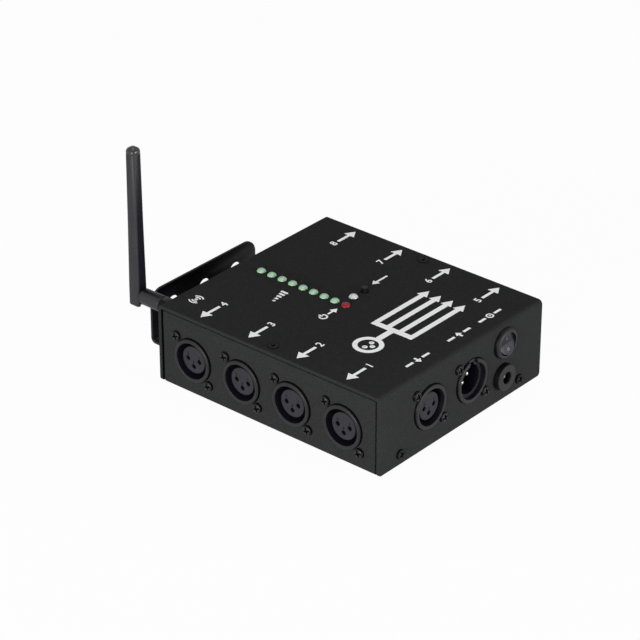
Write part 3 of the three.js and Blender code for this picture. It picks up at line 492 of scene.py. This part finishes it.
def make_chassis():
    """The bottom and both long sides, with the tabs for the screws and the board's stand-offs."""
    side_top = CASE_HEIGHT - COVER_SHEET - SEAM_TOP
    front = -HALF_DEPTH + COVER_SHEET + SEAM_FRONT
    back = HALF_DEPTH - COVER_SHEET - SEAM_BACK
    inner = CHASSIS_BEND - CHASSIS_SHEET
    left, right = (-HALF_WIDTH + CHASSIS_BEND, CHASSIS_BEND), (HALF_WIDTH - CHASSIS_BEND, CHASSIS_BEND)
    outline = arc(left, CHASSIS_BEND, 180, 270, 8) + arc(right, CHASSIS_BEND, 270, 360, 8)
    outline += [(HALF_WIDTH, side_top), (HALF_WIDTH - CHASSIS_SHEET, side_top)]
    outline += arc(right, inner, 360, 270, 5) + arc(left, inner, 270, 180, 5)
    outline += [(-HALF_WIDTH + CHASSIS_SHEET, side_top), (-HALF_WIDTH, side_top)]
    tray = soften(moved(prism(outline, front, back), ALONG_Y), CHASSIS_EDGE)
    bmesh.ops.recalc_face_normals(tray, faces=tray.faces)
    holes = []
    for side in (-1, 1):
        for y in SIDE_SOCKETS:
            holes += socket_holes(to_side(side, y, SIDE_SOCKET_HEIGHT), CHASSIS_SHEET)
    tray = boolean(tray, together(*holes))
    extras = []
    reach, tall, wide = TAB.reach, TAB.height, TAB.width / 2
    within = rounded(CHASSIS_SHEET, CHASSIS_SHEET, reach + PAST, tall + PAST, (0, 0, 0, inner))
    tab = boolean(prism(rounded(0, 0, reach, tall, (0, 0, 0, CHASSIS_BEND)), -wide, wide),
                  prism(within, -wide - PAST, wide + PAST))
    for screws, sign in ((FRONT_SCREWS, 1), (BACK_SCREWS, -1)):
        for x in screws:
            inner_face = sign * (COVER_SHEET - HALF_DEPTH)
            inward = Matrix(((0, 0, sign, x), (sign, 0, 0, inner_face), (0, 1, 0, 0), (0, 0, 0, 1)))
            extras.append(copied(tab, inward))
    for side in (-1, 1):
        outer, tip = side * (HALF_WIDTH - CHASSIS_SHEET / 2), side * (HALF_WIDTH - TOP_TAB.reach)
        extras.append(block((min(outer, tip), -TOP_TAB.half, side_top - CHASSIS_SHEET),
                            (max(outer, tip), TOP_TAB.half, side_top - NEAR)))
    post = rod(STAND_OFFS.radius, CHASSIS_SHEET / 2, STAND_OFFS.top, COARSE)
    extras += [copied(post, at(x, y)) for x in (-STAND_OFFS.x, STAND_OFFS.x) for y in STAND_OFFS.y]
    holes = [copied(rod(screw.hole, -screw.length, PAST), place)
             for screw, places in ((CASE_SCREW, case_screw_places), (TOP_SCREW, top_screw_places))
             for place in places]
    return together(tray, boolean(together(*extras), together(*holes)))


add("cover_sheet", make_cover(), (coat, inner_shade), nodes=("cover",))
add("chassis_tray", make_chassis(), coat, nodes=("chassis",))


# Screws with a cross recess.
def cross_recess(body, reach, width, top, depth):
    """The body cut down from the top by two tapered slots that cross."""
    foot = reach * RECESS_TAPER
    for turn in RECESS_TURNS:
        blade = prism([(-reach, top + PAST), (reach, top + PAST), (reach, top), (foot, top - depth),
                       (-foot, top - depth), (-reach, top)], -width / 2, width / 2)
        body = boolean(body, moved(blade, spin(turn, "Z") @ spin(90, "X")))
    return body


def paint_recess(bm, material, reach, high, low=0.0):
    """Gives the faces one material and those of the recess, inside reach and under high, the next, a painted
    shade.
    """
    return painted(bm, lambda spot, normal: material + (low < spot.z < high and spot.xy.length < reach))


def pan_screw(size, length, material=0):
    """A pan head with rounded shoulders, its recess in the next material as painted shade, and its shank."""
    head, proud, cross = size.head, size.proud, PAN_RECESS
    crown = [(head * out, proud * up) for out, up in PAN_CROWN]
    crown += [(size.shank, 0), (size.shank, -length), (0, -length)]
    body = cross_recess(turned(crown, MEDIUM), head * cross.reach, head * cross.width, proud,
                        proud * cross.depth)
    return paint_recess(body, material, head * cross.painted, proud * cross.rim)


# The nine sockets share two shells, one insert and one set of contact digits.
def ring_profile(bore):
    """The ring's section: a rounded outer edge, the barrel behind it, and the bore back to the lip."""
    middle = SOCKET.ring - SOCKET.round
    profile = arc((middle, SOCKET.proud - SOCKET.round), SOCKET.round, 90, 0, 8)
    profile += [(SOCKET.ring, -SOCKET.depth)] + bore
    lip = SOCKET.lip
    profile += arc((SOCKET.mouth + lip, SOCKET.proud - lip), lip, 180, 90, 4)
    return profile


def make_shell(sheet, bore, notch=None):
    """The ring with its flange and two screws; its materials are ring, screw, painted shade in the recess and
    painted shade in the bore.
    """
    ring = turned(ring_profile(bore), ring=True)
    wide, tall = SOCKET.flange
    corner = SOCKET.flange_corner
    plate = prism(rounded(-wide / 2, -tall / 2, wide / 2, tall / 2, (corner,) * 4),
                  -sheet - SOCKET.flange_sheet, -sheet)
    plate = boolean(plate, rod((SOCKET.mouth + SOCKET.ring) / 2, -SOCKET.depth, PAST, FINE))
    whole = boolean(ring, plate, "UNION")
    if notch:
        whole = boolean(whole, notch)
    # Bore walls take the fourth material, a dark painted shade.
    painted(whole, lambda spot, normal: 3 * (spot.xy.length < SOCKET.mouth + NEAR and abs(normal.z) < STEEP))
    screw = pan_screw(SOCKET_SCREW, sheet + SOCKET.flange_sheet / 2, 1)
    return together(whole, *[copied(screw, spot) for spot in socket_screw_spots])


open_bore = [(SOCKET.mouth, -SOCKET.depth)]
stepped_bore = [(PLUG.bore, -SOCKET.depth), (PLUG.bore, -PLUG.step - PLUG.chamfer),
                (PLUG.bore + PLUG.chamfer, -PLUG.step), (SOCKET.mouth, -PLUG.step)]
contact_spots = [arc((0, 0), CONTACT.circle, turn, turn, 1)[0] for turn in CONTACT_TURNS]


def make_insert():
    """The core with its three contact holes, and the floor of the gap round it."""
    base = SOCKET.mouth - FIT_GAP
    face, bevel = -INSERT.sunk, INSERT.bevel
    profile = [(0, face)] + arc((INSERT.core - bevel, face - bevel), bevel, 90, 0, 5)
    profile += [(INSERT.core, -INSERT.gap_depth), (base, -INSERT.gap_depth),
                (base, -INSERT.depth), (0, -INSERT.depth)]
    rim = CONTACT.hole + CONTACT.chamfer
    cutter = turned([(0, PAST), (rim, PAST), (rim, face), (CONTACT.hole, face - CONTACT.chamfer),
                     (CONTACT.hole, face - CONTACT.depth), (0, face - CONTACT.depth)], MEDIUM)
    return boolean(turned(profile), together(*[copied(cutter, at(*spot)) for spot in contact_spots]))


def flat_text(words, size, x, y, height=0.0, thick=0.04, bolder=0.0):
    """Plain figures as a thin raised plate centred on (x, y), in millimetres."""
    curve = bpy.data.curves.new("figure", "FONT")
    curve.body, curve.size, curve.offset, curve.extrude = words, size, bolder, thick / 2
    curve.align_x, curve.align_y = "CENTER", "CENTER"
    item = new_object("figure", curve)
    bm = evaluated(item)
    bpy.data.objects.remove(item)
    bpy.data.curves.remove(curve)
    return moved(bm, at(x, y, height))


digit_marks = together(*[flat_text(word, DIGIT.size, x, y + DIGIT.rise, DIGIT.lift - INSERT.sunk,
                                   bolder=DIGIT.bolder)
                         for word, (x, y) in zip(CONTACT_DIGITS, contact_spots)])
shell_surfaces = (shell_coat, screw_black, recess_shade, bore_shade)
side_shell = finished_mesh(make_shell(CHASSIS_SHEET, open_bore), "side_shell", shell_surfaces)
front_shell = finished_mesh(make_shell(COVER_SHEET, open_bore), "front_shell", shell_surfaces)
insert_mesh = finished_mesh(make_insert(), "insert", insert_plastic)
digit_mesh = finished_mesh(digit_marks, "contact_digits", dark_ink)
sockets = [("link_output", to_front(*FRONT_SOCKET), front_shell)]
sockets += [("output_%s_%d" % (side, i + 1), to_side(sign, y, SIDE_SOCKET_HEIGHT), side_shell)
            for i, y in enumerate(SIDE_SOCKETS) for side, sign in SIDES]
for name, place, mesh in sockets:
    place_piece(name + "_ring", mesh, place, "case", (name + "_shell",))
    place_piece(name + "_core", insert_mesh, place, "case", (name + "_insert",))
    place_piece(name + "_digits", digit_mesh, place, "case")

# The inlet plug.
plug_place = to_front(*FRONT_PLUG)
notch = boolean(block((-PLUG.notch / 2, PLUG.bore / 2, -PLUG.step - PLUG.notch_depth),
                      (PLUG.notch / 2, PLUG.notch_top, SOCKET.proud + PAST)),
                block((-PLUG.slot / 2, SOCKET.mouth - PAST, PLUG.slot_floor),
                      (PLUG.slot / 2, SOCKET.ring + PAST, SOCKET.proud + PAST / 2)), "UNION")
plug_shell = make_shell(COVER_SHEET, stepped_bore, notch)
add("input_ring", plug_shell, shell_surfaces, nodes=("input_shell",), place=plug_place)
disc = soften(rod(PLUG.bore - FIT_GAP, -PLUG.depth, -PLUG.floor, FINE), INLET_EDGE)
wells = [copied(rod(PIN.hole, -PLUG.depth - PAST, -PLUG.floor + PAST), at(*spot)) for spot in contact_spots]
add("input_core", boolean(disc, together(*wells)), insert_plastic,
    nodes=("input_insert",), place=plug_place)
for i, (x, y) in enumerate(contact_spots):
    pin = round_pin(PIN.radius, -PIN.tip, PIN.round, -PLUG.depth - PIN.tail, 6)
    add("input_contact_%d" % (i + 1), moved(pin, at(x, y)), pin_metal,
        nodes=("input_pin_%d" % (i + 1),), place=plug_place)

# Case and top screws.
head_surfaces = (head_coat, recess_shade)
case_screw = finished_mesh(pan_screw(CASE_SCREW, CASE_SCREW.length), "case_screw", head_surfaces)
for which, place in zip(("front_1", "front_2", "back_1", "back_2"), case_screw_places):
    place_piece("end_screw_" + which, case_screw, place, "case", ("case_screw_" + which,))
high, head, shank = TOP_SCREW.proud, TOP_SCREW.head, TOP_SCREW.shank
top_screw = turned([(0, high), (head - TOP_SCREW.chamfer, high), (head, high - TOP_SCREW.edge),
                    (head, -TOP_SCREW.side), (shank, -TOP_SCREW.taper), (shank, -TOP_SCREW.length),
                    (0, -TOP_SCREW.length)], MEDIUM)
top_screw = cross_recess(top_screw, TOP_RECESS.reach, TOP_RECESS.width, high, TOP_RECESS.depth)
top_screw = paint_recess(top_screw, 0, TOP_RECESS.painted, high - TOP_RECESS.rim, -TOP_SCREW.taper)
top_screw = finished_mesh(top_screw, "top_screw", head_surfaces)
for side, place in zip(("left", "right"), top_screw_places):
    place_piece("sunk_screw_" + side, top_screw, place, "case", ("top_screw_" + side,))

# The rocker switch.
switch_place = to_front(*BEZEL.at)
opening, edge, proud = BEZEL.opening, BEZEL.round, BEZEL.proud
crown = [(0, -SWITCH.floor), (opening, -SWITCH.floor), (opening, proud - edge),
         (opening + BEZEL.step[0], proud - BEZEL.step[1]), (opening + edge, proud), *BEZEL_CROWN,
         (BEZEL.radius, 0), (SWITCH.radius, 0), (SWITCH.radius, -SWITCH.depth), (0, -SWITCH.depth)]
add("switch_cup", turned(crown), switch_plastic, nodes=("switch_housing",),
    place=switch_place)
ball = bmesh.new()
bmesh.ops.create_uvsphere(ball, u_segments=FINE, v_segments=MEDIUM, radius=ROCKER.radius)
moved(ball, at(0, 0, ROCKER.pivot))
reach = ROCKER.radius * 2
flat_half = block((-reach, 0, ROCKER.valley), (reach, reach, reach))
tilt = at(0, 0, ROCKER.valley) @ spin(-ROCKER.tilt, "X")
rising_half = moved(block((-reach, -reach, 0), (reach, 0, reach)), tilt)
rocker = boolean(boolean(ball, flat_half), rising_half)
rocker = boolean(rocker, block((-reach, -reach, -reach), (reach, reach, ROCKER.pivot - ROCKER.foot)))
add("rocker_key", soften(rocker, ROCKER.edge, angle=25), key_plastic, body="rocker",
    nodes=("rocker",), place=switch_place, sharp=40)
high, low = KEY_MARK.rise, -KEY_MARK.sunk
off_mark = turned([(KEY_MARK.outer, high), (KEY_MARK.outer, low), (KEY_MARK.inner, low),
                   (KEY_MARK.inner, high)], MEDIUM, ring=True)
on_mark = block((-KEY_MARK.half, KEY_MARK.on[0], ROCKER.valley + low),
                (KEY_MARK.half, KEY_MARK.on[1], ROCKER.valley + high))
for name, mark in (("off", moved(off_mark, tilt @ at(0, KEY_MARK.off))), ("on", on_mark)):
    add("rocker_%s_mark" % name, mark, grey_ink, body="rocker", place=switch_place)

# The power jack.
jack_place = to_front(*JACK.at)
profile = [(JACK_PIN.hole, -JACK.floor), (JACK.bore, -JACK.floor),
           (JACK.bore, JACK.proud - JACK.flare), (JACK.mouth, JACK.proud)]
profile += arc((JACK.collar - JACK.bevel, JACK.proud - JACK.bevel), JACK.bevel, 90, 0, 5)
profile += [(JACK.collar, 0), (JACK.barrel, 0), (JACK.barrel, -JACK.depth), (JACK_PIN.hole, -JACK.depth)]
add("jack_barrel", turned(profile, ring=True), black_plastic,
    nodes=("power_jack_body",), place=jack_place)
pin = round_pin(JACK_PIN.radius, JACK.proud - JACK_PIN.sunk, JACK_PIN.round, -JACK.depth - JACK_PIN.tail)
add("jack_pin", pin, bright_metal, nodes=("power_jack_pin",), place=jack_place)

# Lamps.
dome = (LAMP.radius ** 2 + LAMP.proud ** 2) / (2 * LAMP.proud)
profile = arc((0, LAMP.proud - dome), dome, 90, math.degrees(math.asin(1 - LAMP.proud / dome)), 10)
profile[0] = (0, LAMP.proud)
ledge = LAMP.foot + LAMP.rim_thick
profile += [(LAMP.radius, ledge), (LAMP.rim, ledge), (LAMP.rim, LAMP.foot), (0, LAMP.foot)]
lamp_names = ["green_lamp_%d" % i for i in range(1, LAMP_ROW.count)] + ["red_lamp", "white_lamp"]
for name, place in zip(lamp_names, lamp_places):
    colour = name.split("_")[0]
    add(name + "_dome", turned(profile, MEDIUM), resins[colour], nodes=(name,),
        place=place)

# The push button.
stem = round_pin(BUTTON.stem, BUTTON.proud, BUTTON.round, BUTTON.foot)
add("button_cap", stem, black_plastic, body="push_button", nodes=("button_stem",),
    place=to_top(*BUTTON.at))

# The antenna.
antenna_place = to_back(*ANTENNA.at)
out, wide, start = ANTENNA.out, ANTENNA.thread, ANTENNA.out - THREAD.lead
thread = [(0, out), (wide - THREAD.lead, out)]
thread += [(wide - (THREAD.depth if i % 2 else 0.0), start - THREAD.pitch * i)
           for i in range(THREAD.steps)]
thread += [(wide, PANEL_NUT.thick), (wide, -ANTENNA.back), (0, -ANTENNA.back)]
nuts = [soften(prism(hexagon(nut.across), low, low + nut.thick), NUT_EDGE)
        for nut, low in ((PANEL_NUT, 0.0), (INNER_NUT, -COVER_SHEET - INNER_NUT.thick))]
add("antenna_bulkhead", together(turned(thread, MEDIUM), *nuts), bright_metal,
    nodes=("antenna_socket",), place=antenna_place)
near, far = COUPLING_NUT.near, COUPLING_NUT.far
mouth, lip = COUPLING_NUT.lip, far - COUPLING_NUT.lip_thick
nut = soften(prism(hexagon(COUPLING_NUT.across), near, far), COUPLING_EDGE)
bore = turned([(0, far + PAST), (mouth, far + PAST), (mouth, lip), (COUPLING_NUT.bore, lip),
               (COUPLING_NUT.bore, near - PAST), (0, near - PAST)], MEDIUM)
add("coupling_nut", boolean(nut, bore), screw_black,
    nodes=("antenna_coupling_nut",), place=antenna_place)
near, far, edge, neck = KNUCKLE.near, KNUCKLE.far, KNUCKLE.round, KNUCKLE.neck
middle, top, foot = KNUCKLE.radius - edge, lip - FIT_GAP, lip - FIT_GAP - KNUCKLE.flange_thick
profile = [(0, far)] + arc((middle, far - edge), edge, 90, 0, 6) + arc((middle, near + edge), edge, 0, -90, 6)
profile += [(neck, near), (neck, top), (KNUCKLE.flange, top), (KNUCKLE.flange, foot), (0, foot)]
about_hinge = at(0, -HINGE.drop, HINGE.reach) @ spin(90, "Y")
half = HINGE.tongue / 2
root = block((-half, TONGUE_ROOT.low, far - TONGUE_ROOT.inner),
             (half, TONGUE_ROOT.high, far - TONGUE_ROOT.outer))
tongue = together(copied(rod(HINGE.round, -half, half, FINE), about_hinge), root)
hull = bmesh.ops.convex_hull(tongue, input=tongue.verts)
spare = {item for item in hull["geom_interior"] + hull["geom_unused"] if isinstance(item, bmesh.types.BMVert)}
bmesh.ops.delete(tongue, geom=list(spare), context="VERTS")
reach = KNUCKLE.radius * 2
knuckle = boolean(turned(profile), copied(rod(HINGE.scoop, -reach, reach, FINE), about_hinge))
knuckle = boolean(soften(knuckle, KNUCKLE_EDGE), tongue, "UNION")
knuckle = boolean(knuckle, copied(rod(HINGE.hole, -reach, reach), about_hinge))
add("knuckle_piece", knuckle, whip_plastic, body="antenna_swivel",
    nodes=("antenna_knuckle",), place=antenna_place)


def make_whip():
    """The bar, square at its fork and round at its cap, and its pin; zero at the hinge."""
    wide, thick, corner = WHIP.wide, WHIP.thick, WHIP.corner
    outline = rounded(-wide / 2, -thick / 2, wide / 2, thick / 2, (corner,) * 4)
    edge = WHIP.foot_round
    sections = [(edge - inset - WHIP.foot, 1 - 2 * (edge - rise) / thick, 0.0)
                for inset, rise in arc((0, 0), edge, 0, 90, 5)]
    sections += [(HINGE.round * 2, 1.0, 0.0), (WHIP.length * WHIP.waist, 1.0, WHIP.waist_round)]
    for rise, size in zip(CAP_RISES, CAP_SIZES):
        sections.append((WHIP.length - WHIP.cap * (1 - rise), WHIP.top_share * size, 1.0))
    bm = bmesh.new()
    loops = []
    for z, share, roundness in sections:
        if share == 0:
            loops.append([bm.verts.new((0, 0, z))])
            continue
        shares = [share * (1 - roundness + roundness * wide / 2 / math.hypot(x, y)) for x, y in outline]
        loops.append([bm.verts.new((x * s, y * s, z)) for (x, y), s in zip(outline, shares)])
    bm.faces.new(loops[0])
    skin(bm, loops)
    slot_half = HINGE.tongue / 2 + FIT_GAP
    bar = boolean(bm, block((-slot_half, -thick, -thick), (slot_half, thick, WHIP.slot_rise)))
    painted(bar, lambda spot, normal: spot.z > WHIP.length - WHIP.cap * WHIP.cap_painted)
    pin = copied(rod(HINGE.pin, -slot_half - PAST, slot_half + PAST, COARSE), spin(90, "Y"))
    return together(bar, pin)


whip_place = at(ANTENNA.at[0], HALF_DEPTH + HINGE.reach, ANTENNA.at[1] - HINGE.drop)
add("whip_bar", make_whip(), (whip_plastic, cap_plastic), body="antenna_whip",
    nodes=("antenna_whip",), place=whip_place)


# The hanging bracket.
def make_bracket():
    """A leg on the back end, a floor and an upright plate with three holes."""
    half, sheet, bend, top = BRACKET.width / 2, BRACKET.sheet, BRACKET.bend, BRACKET.top
    near, out = HALF_DEPTH, HALF_DEPTH + BRACKET.reach
    outline = [(near, BRACKET.leg)]
    outline += arc((near + bend, bend), bend, 180, 270, 12) + arc((out - bend, bend), bend, 270, 360, 12)
    outline += [(out, top), (out - sheet, top)]
    outline += arc((out - bend, bend), bend - sheet, 360, 270, 8)
    outline += arc((near + bend, bend), bend - sheet, 270, 180, 8)
    outline.append((near + sheet, BRACKET.leg))
    middle, corner, chamfer = at(BRACKET.x, 0), BRACKET.corner, BRACKET.chamfer
    fold = moved(prism(outline, -half, half), middle @ ALONG_X)
    cutters = []
    for side in (-1, 1):
        curve = arc((side * (half - corner), top - corner), corner, 0 if side > 0 else 180, 90, 16)
        points = [(side * (half + PAST), top - corner)] + curve
        points += [(curve[-1][0], top + PAST), (side * (half + PAST), top + PAST)]
        cutters.append(moved(prism(points, -out - PAST, -near - PAST), middle @ AGAINST_Y))
    fold = soften(boolean(fold, together(*cutters)), BRACKET_EDGE)
    radius, rim = BRACKET.hole, BRACKET.hole + chamfer
    cutter = turned([(0, PAST), (rim, PAST), (rim, 0), (radius, -chamfer), (radius, -sheet + chamfer),
                     (rim, -sheet), (rim, -sheet - PAST), (0, -sheet - PAST)])
    places = [to_back(BRACKET.x + step * BRACKET.pitch, BRACKET.height) @ at(0, 0, BRACKET.reach)
              for step in (-1, 0, 1)]
    fold = boolean(fold, together(*[copied(cutter, place) for place in places]))
    screw = pan_screw(BRACKET_SCREW, BRACKET_SCREW.length, 1)
    return together(fold, *[copied(screw, place @ at(0, 0, sheet)) for place in bracket_screw_places])


add("bracket_plate", make_bracket(), (bracket_coat, screw_black, recess_shade),
    nodes=("hanging_bracket",))

# Feet.
high, rim, well, edge = FOOT.height, FOOT.radius - FOOT.taper, FOOT.well, FOOT.round
profile = [(0, high - FOOT.deep), (well, high - FOOT.deep), (well + 0.2, high)]
profile += arc((rim - edge, high - edge), edge, 90, 5, 4) + [(FOOT.radius, 0), (0, 0)]
foot_mesh = finished_mesh(turned(profile, MEDIUM), "foot", rubber)
for end, sign_y in (("front", -1), ("back", 1)):
    for side, sign_x in SIDES:
        corner = "%s_%s" % (end, side)
        place_piece("rubber_" + corner, foot_mesh, to_bottom(sign_x * FOOT.x, sign_y * FOOT.y), "case",
                    ("foot_" + corner,))

# Hidden CAD nodes keep their shape and take a node material.
for name, surface in (("power_jack_nut", bright_metal), ("button_box", black_plastic),
                      ("main_board", board_green), ("lamp_board", board_green),
                      ("radio_module", bright_metal)):
    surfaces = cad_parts[name].data.materials
    surfaces.clear()
    surfaces.append(surface)


# Print on the top: plain numbers and signs, each about as large as the lettering in its place.
INK, BOLDER = 0.04, 0.09
PORT = Sizes(size=6.2, number=7.8, tail=4.4, length=14.4, thick=1.7)
END_BAR = Sizes(near=3.6, far=9.0, thick=1.5)
SPLITTER = Sizes(at=(-0.5, -34.9), port=-27.5, ring=6.7, bus=-8.0, row=3.9, line=3.6, half=1.8, end=33.9)
PORT_ROWS = ((1, -51.1, 180, (-48.6, -16.6, 15.3, 47.6)), (5, 51.6, 0, (-48.3, -16.0, 16.0, 48.1)))
WAVE, POWER = (-48.8, 61.9), (34.8, -62.7)


def bar_mark(x0, y0, x1, y1, thick):
    """A straight stroke between two points."""
    along = Vector((x1 - x0, y1 - y0)).normalized() * thick / 2
    side = Vector((-along.y, along.x))
    start, end = Vector((x0, y0)), Vector((x1, y1))
    return prism((start + side, start - side, end - side, end + side), 0.0, INK)


def arrow_mark(x, y, length, turn, thick, wing=2.0, back=3.2):
    """An arrow from its tail, turned by degrees; its head is measured in strokes."""
    c, s = math.cos(math.radians(turn)), math.sin(math.radians(turn))
    tip = Vector((x + length * c, y + length * s))
    base, half = tip - Vector((c, s)) * back * thick, wing * thick
    head = [tip, (base.x - s * half, base.y + c * half), (base.x + s * half, base.y - c * half)]
    return together(bar_mark(x, y, base.x, base.y, thick), prism(head, 0.0, INK))


def arc_mark(x, y, radius, thick, start=0, end=360):
    """A curved stroke between two angles in degrees."""
    steps = max(6, int((end - start) / 8))
    outer = arc((x, y), radius + thick / 2, start, end, steps)
    return prism(outer + arc((x, y), radius - thick / 2, end, start, steps), 0.0, INK)


def port_mark(number, x, y, turn):
    """A number with an arrow towards its socket."""
    ahead = math.cos(math.radians(turn))
    return [flat_text(str(number), PORT.size, x - PORT.number * ahead, y, INK / 2, INK, BOLDER),
            arrow_mark(x - PORT.tail * ahead, y, PORT.length, turn, PORT.thick)]


def end_mark(x, y, sign):
    """Two bars with a sign between them."""
    near, far, thick = END_BAR.near, END_BAR.far, END_BAR.thick
    return [bar_mark(x - far, y, x - near, y, thick), bar_mark(x + near, y, x + far, y, thick)] + sign


def splitter_mark(x, y):
    """One three-pin port that feeds four arrows."""
    left, bus, line, half = x + SPLITTER.port, x + SPLITTER.bus, SPLITTER.line, SPLITTER.half
    rows = [y + SPLITTER.row * k for k in (-3, -1, 1, 3)]
    marks = [arc_mark(left, y, SPLITTER.ring, 2.6), bar_mark(left + 8.0, y, bus - half, y, line),
             bar_mark(bus, rows[0] - 1.4, bus, rows[-1] + 1.4, line)]
    marks += [arc_mark(left + 0.7 * px, y + 0.7 * py, 0.7, 1.4) for px, py in contact_spots]
    return marks + [arrow_mark(bus + half, row, x + SPLITTER.end - bus, 0, 3.0, 1.08, 2.0) for row in rows]


marks = splitter_mark(*SPLITTER.at)
for first, x, turn, rows in PORT_ROWS:
    for i, y in enumerate(rows):
        marks += port_mark(first + i, x, y, turn)
marks += [arc_mark(*WAVE, 0.45, 0.9)]
marks += [arc_mark(*WAVE, radius, 0.8, turn - 50, turn + 50) for radius in (2.0, 3.6) for turn in (0, 180)]
marks += [bar_mark(-24.0 + 2.5 * i, 30.3, -24.0 + 2.5 * i, 31.5 + 0.8 * i, 1.4) for i in range(5)]
marks += [arc_mark(-20.6, 0.7, 2.0, 0.9, -235, 55), bar_mark(-20.6, 1.3, -20.6, 3.5, 0.9),
          arrow_mark(-17.0, 0.7, 7.4, 0, 1.1)]
marks += [arrow_mark(34.0, 3.8, 12.0, 180, 1.1)]
marks += end_mark(-23.7, -62.9, [arrow_mark(-23.7, -60.6, 4.8, -90, 1.2, 1.8, 2.2)])
marks += end_mark(9.5, -62.7, [arrow_mark(9.5, -65.1, 4.8, 90, 1.2, 1.8, 2.2)])
marks += end_mark(*POWER, [arc_mark(*POWER, 1.8, 0.8), arc_mark(*POWER, 0.3, 0.6)])
add("top_print", together(*marks), white_ink, place=to_top(0.0, 0.0))


# Camera at the photograph's angle.
CAMERA = Sizes(azimuth=-49.526, elevation=29.134, distance=1450.5, lens=158.92, clip=(0.05, 20.0),
               target=(-0.3, -0.4, 22.75), left=15.67, up=10.03)


def look_through():
    """Puts the camera behind its target, to the left of the object's middle and above it."""
    azimuth, elevation = math.radians(CAMERA.azimuth), math.radians(CAMERA.elevation)
    back = Vector((math.sin(azimuth) * math.cos(elevation), -math.cos(azimuth) * math.cos(elevation),
                   math.sin(elevation)))
    right = Vector((math.cos(azimuth), math.sin(azimuth), 0.0))
    upward = back.cross(right)
    target = (ORIGIN + Vector(CAMERA.target) - right * CAMERA.left + upward * CAMERA.up) * MM
    data = bpy.data.cameras.new("camera")
    data.lens, (data.clip_start, data.clip_end) = CAMERA.lens, CAMERA.clip
    camera = new_object("camera", data)
    turn = Matrix((right, upward, back)).transposed().to_4x4()
    turn.translation = target + back * (CAMERA.distance * MM)
    camera.matrix_world = turn
    bpy.context.scene.camera = camera


look_through()


# Floor, world and soft lamps.
FLOOR_HALF, FLOOR_GREY, FLOOR_ROUGH, FLOOR_GLOW = 3.0, 0.5, 0.9, 0.97
WORLD_LIGHT = 0.15


def seen_directly(tree):
    """1 for rays from the camera, gloss or clear material, and 0 for those that carry light to the object."""
    path = add_node(tree, "LightPath", {})
    total = path.outputs["Is Camera Ray"]
    for kind in ("Is Glossy Ray", "Is Transmission Ray"):
        total = add_node(tree, "Math", {0: total, 1: path.outputs[kind]}, operation="ADD",
                         use_clamp=True).outputs[0]
    return total


def add_floor():
    """A wide floor that shows as white and keeps the object's shadow."""
    mesh = bpy.data.meshes.new("floor")
    corners = [(x * FLOOR_HALF, y * FLOOR_HALF, 0) for x, y in ((-1, -1), (1, -1), (1, 1), (-1, 1))]
    mesh.from_pydata(corners, [], [(0, 1, 2, 3)])
    made = bpy.data.materials.new("floor")
    made.use_nodes = True
    tree = made.node_tree
    shader = tree.nodes["Principled BSDF"]
    feed(tree, shader, {"Base Color": (FLOOR_GREY, FLOOR_GREY, FLOOR_GREY, 1), "Roughness": FLOOR_ROUGH})
    glow = add_node(tree, "Emission", {"Strength": 1.0})
    share = add_node(tree, "Math", {0: seen_directly(tree), 1: FLOOR_GLOW}, operation="MULTIPLY")
    mix = add_node(tree, "MixShader", {"Fac": share.outputs[0], 1: shader.outputs[0], 2: glow.outputs[0]})
    feed(tree, tree.nodes["Material Output"], {"Surface": mix.outputs[0]})
    mesh.materials.append(made)
    floor = new_object("floor", mesh)


def add_world():
    """An even white surround that lights the object only a little."""
    world = bpy.data.worlds.new("world")
    bpy.context.scene.world = world
    world.use_nodes = True
    tree = world.node_tree
    amount = add_node(tree, "MapRange", {"To Min": WORLD_LIGHT, "To Max": 1.0, "Value": seen_directly(tree)})
    feed(tree, tree.nodes["Background"], {"Color": (1, 1, 1, 1), "Strength": amount.outputs["Result"]})


def add_lamp(name, spot, wide, tall, power, target=(0, 0, 0.02)):
    """A rectangular soft lamp that faces its target."""
    data = bpy.data.lights.new(name, "AREA")
    data.shape, data.size, data.size_y, data.energy = "RECTANGLE", wide, tall, power
    lamp = new_object(name, data)
    lamp.location = spot
    lamp.rotation_euler = (Vector(target) - Vector(spot)).to_track_quat("-Z", "Y").to_euler()


add_floor()
add_world()
add_lamp("left_soft", (-1.6, -0.25, 0.28), 1.3, 0.4, 44.0)
add_lamp("front_soft", (0.35, -1.7, 0.24), 1.3, 0.4, 38.0)
add_lamp("top_soft", (0.2, 0.3, 1.8), 1.0, 1.0, 9.0)
bpy.context.scene.view_settings.view_transform = "Standard"
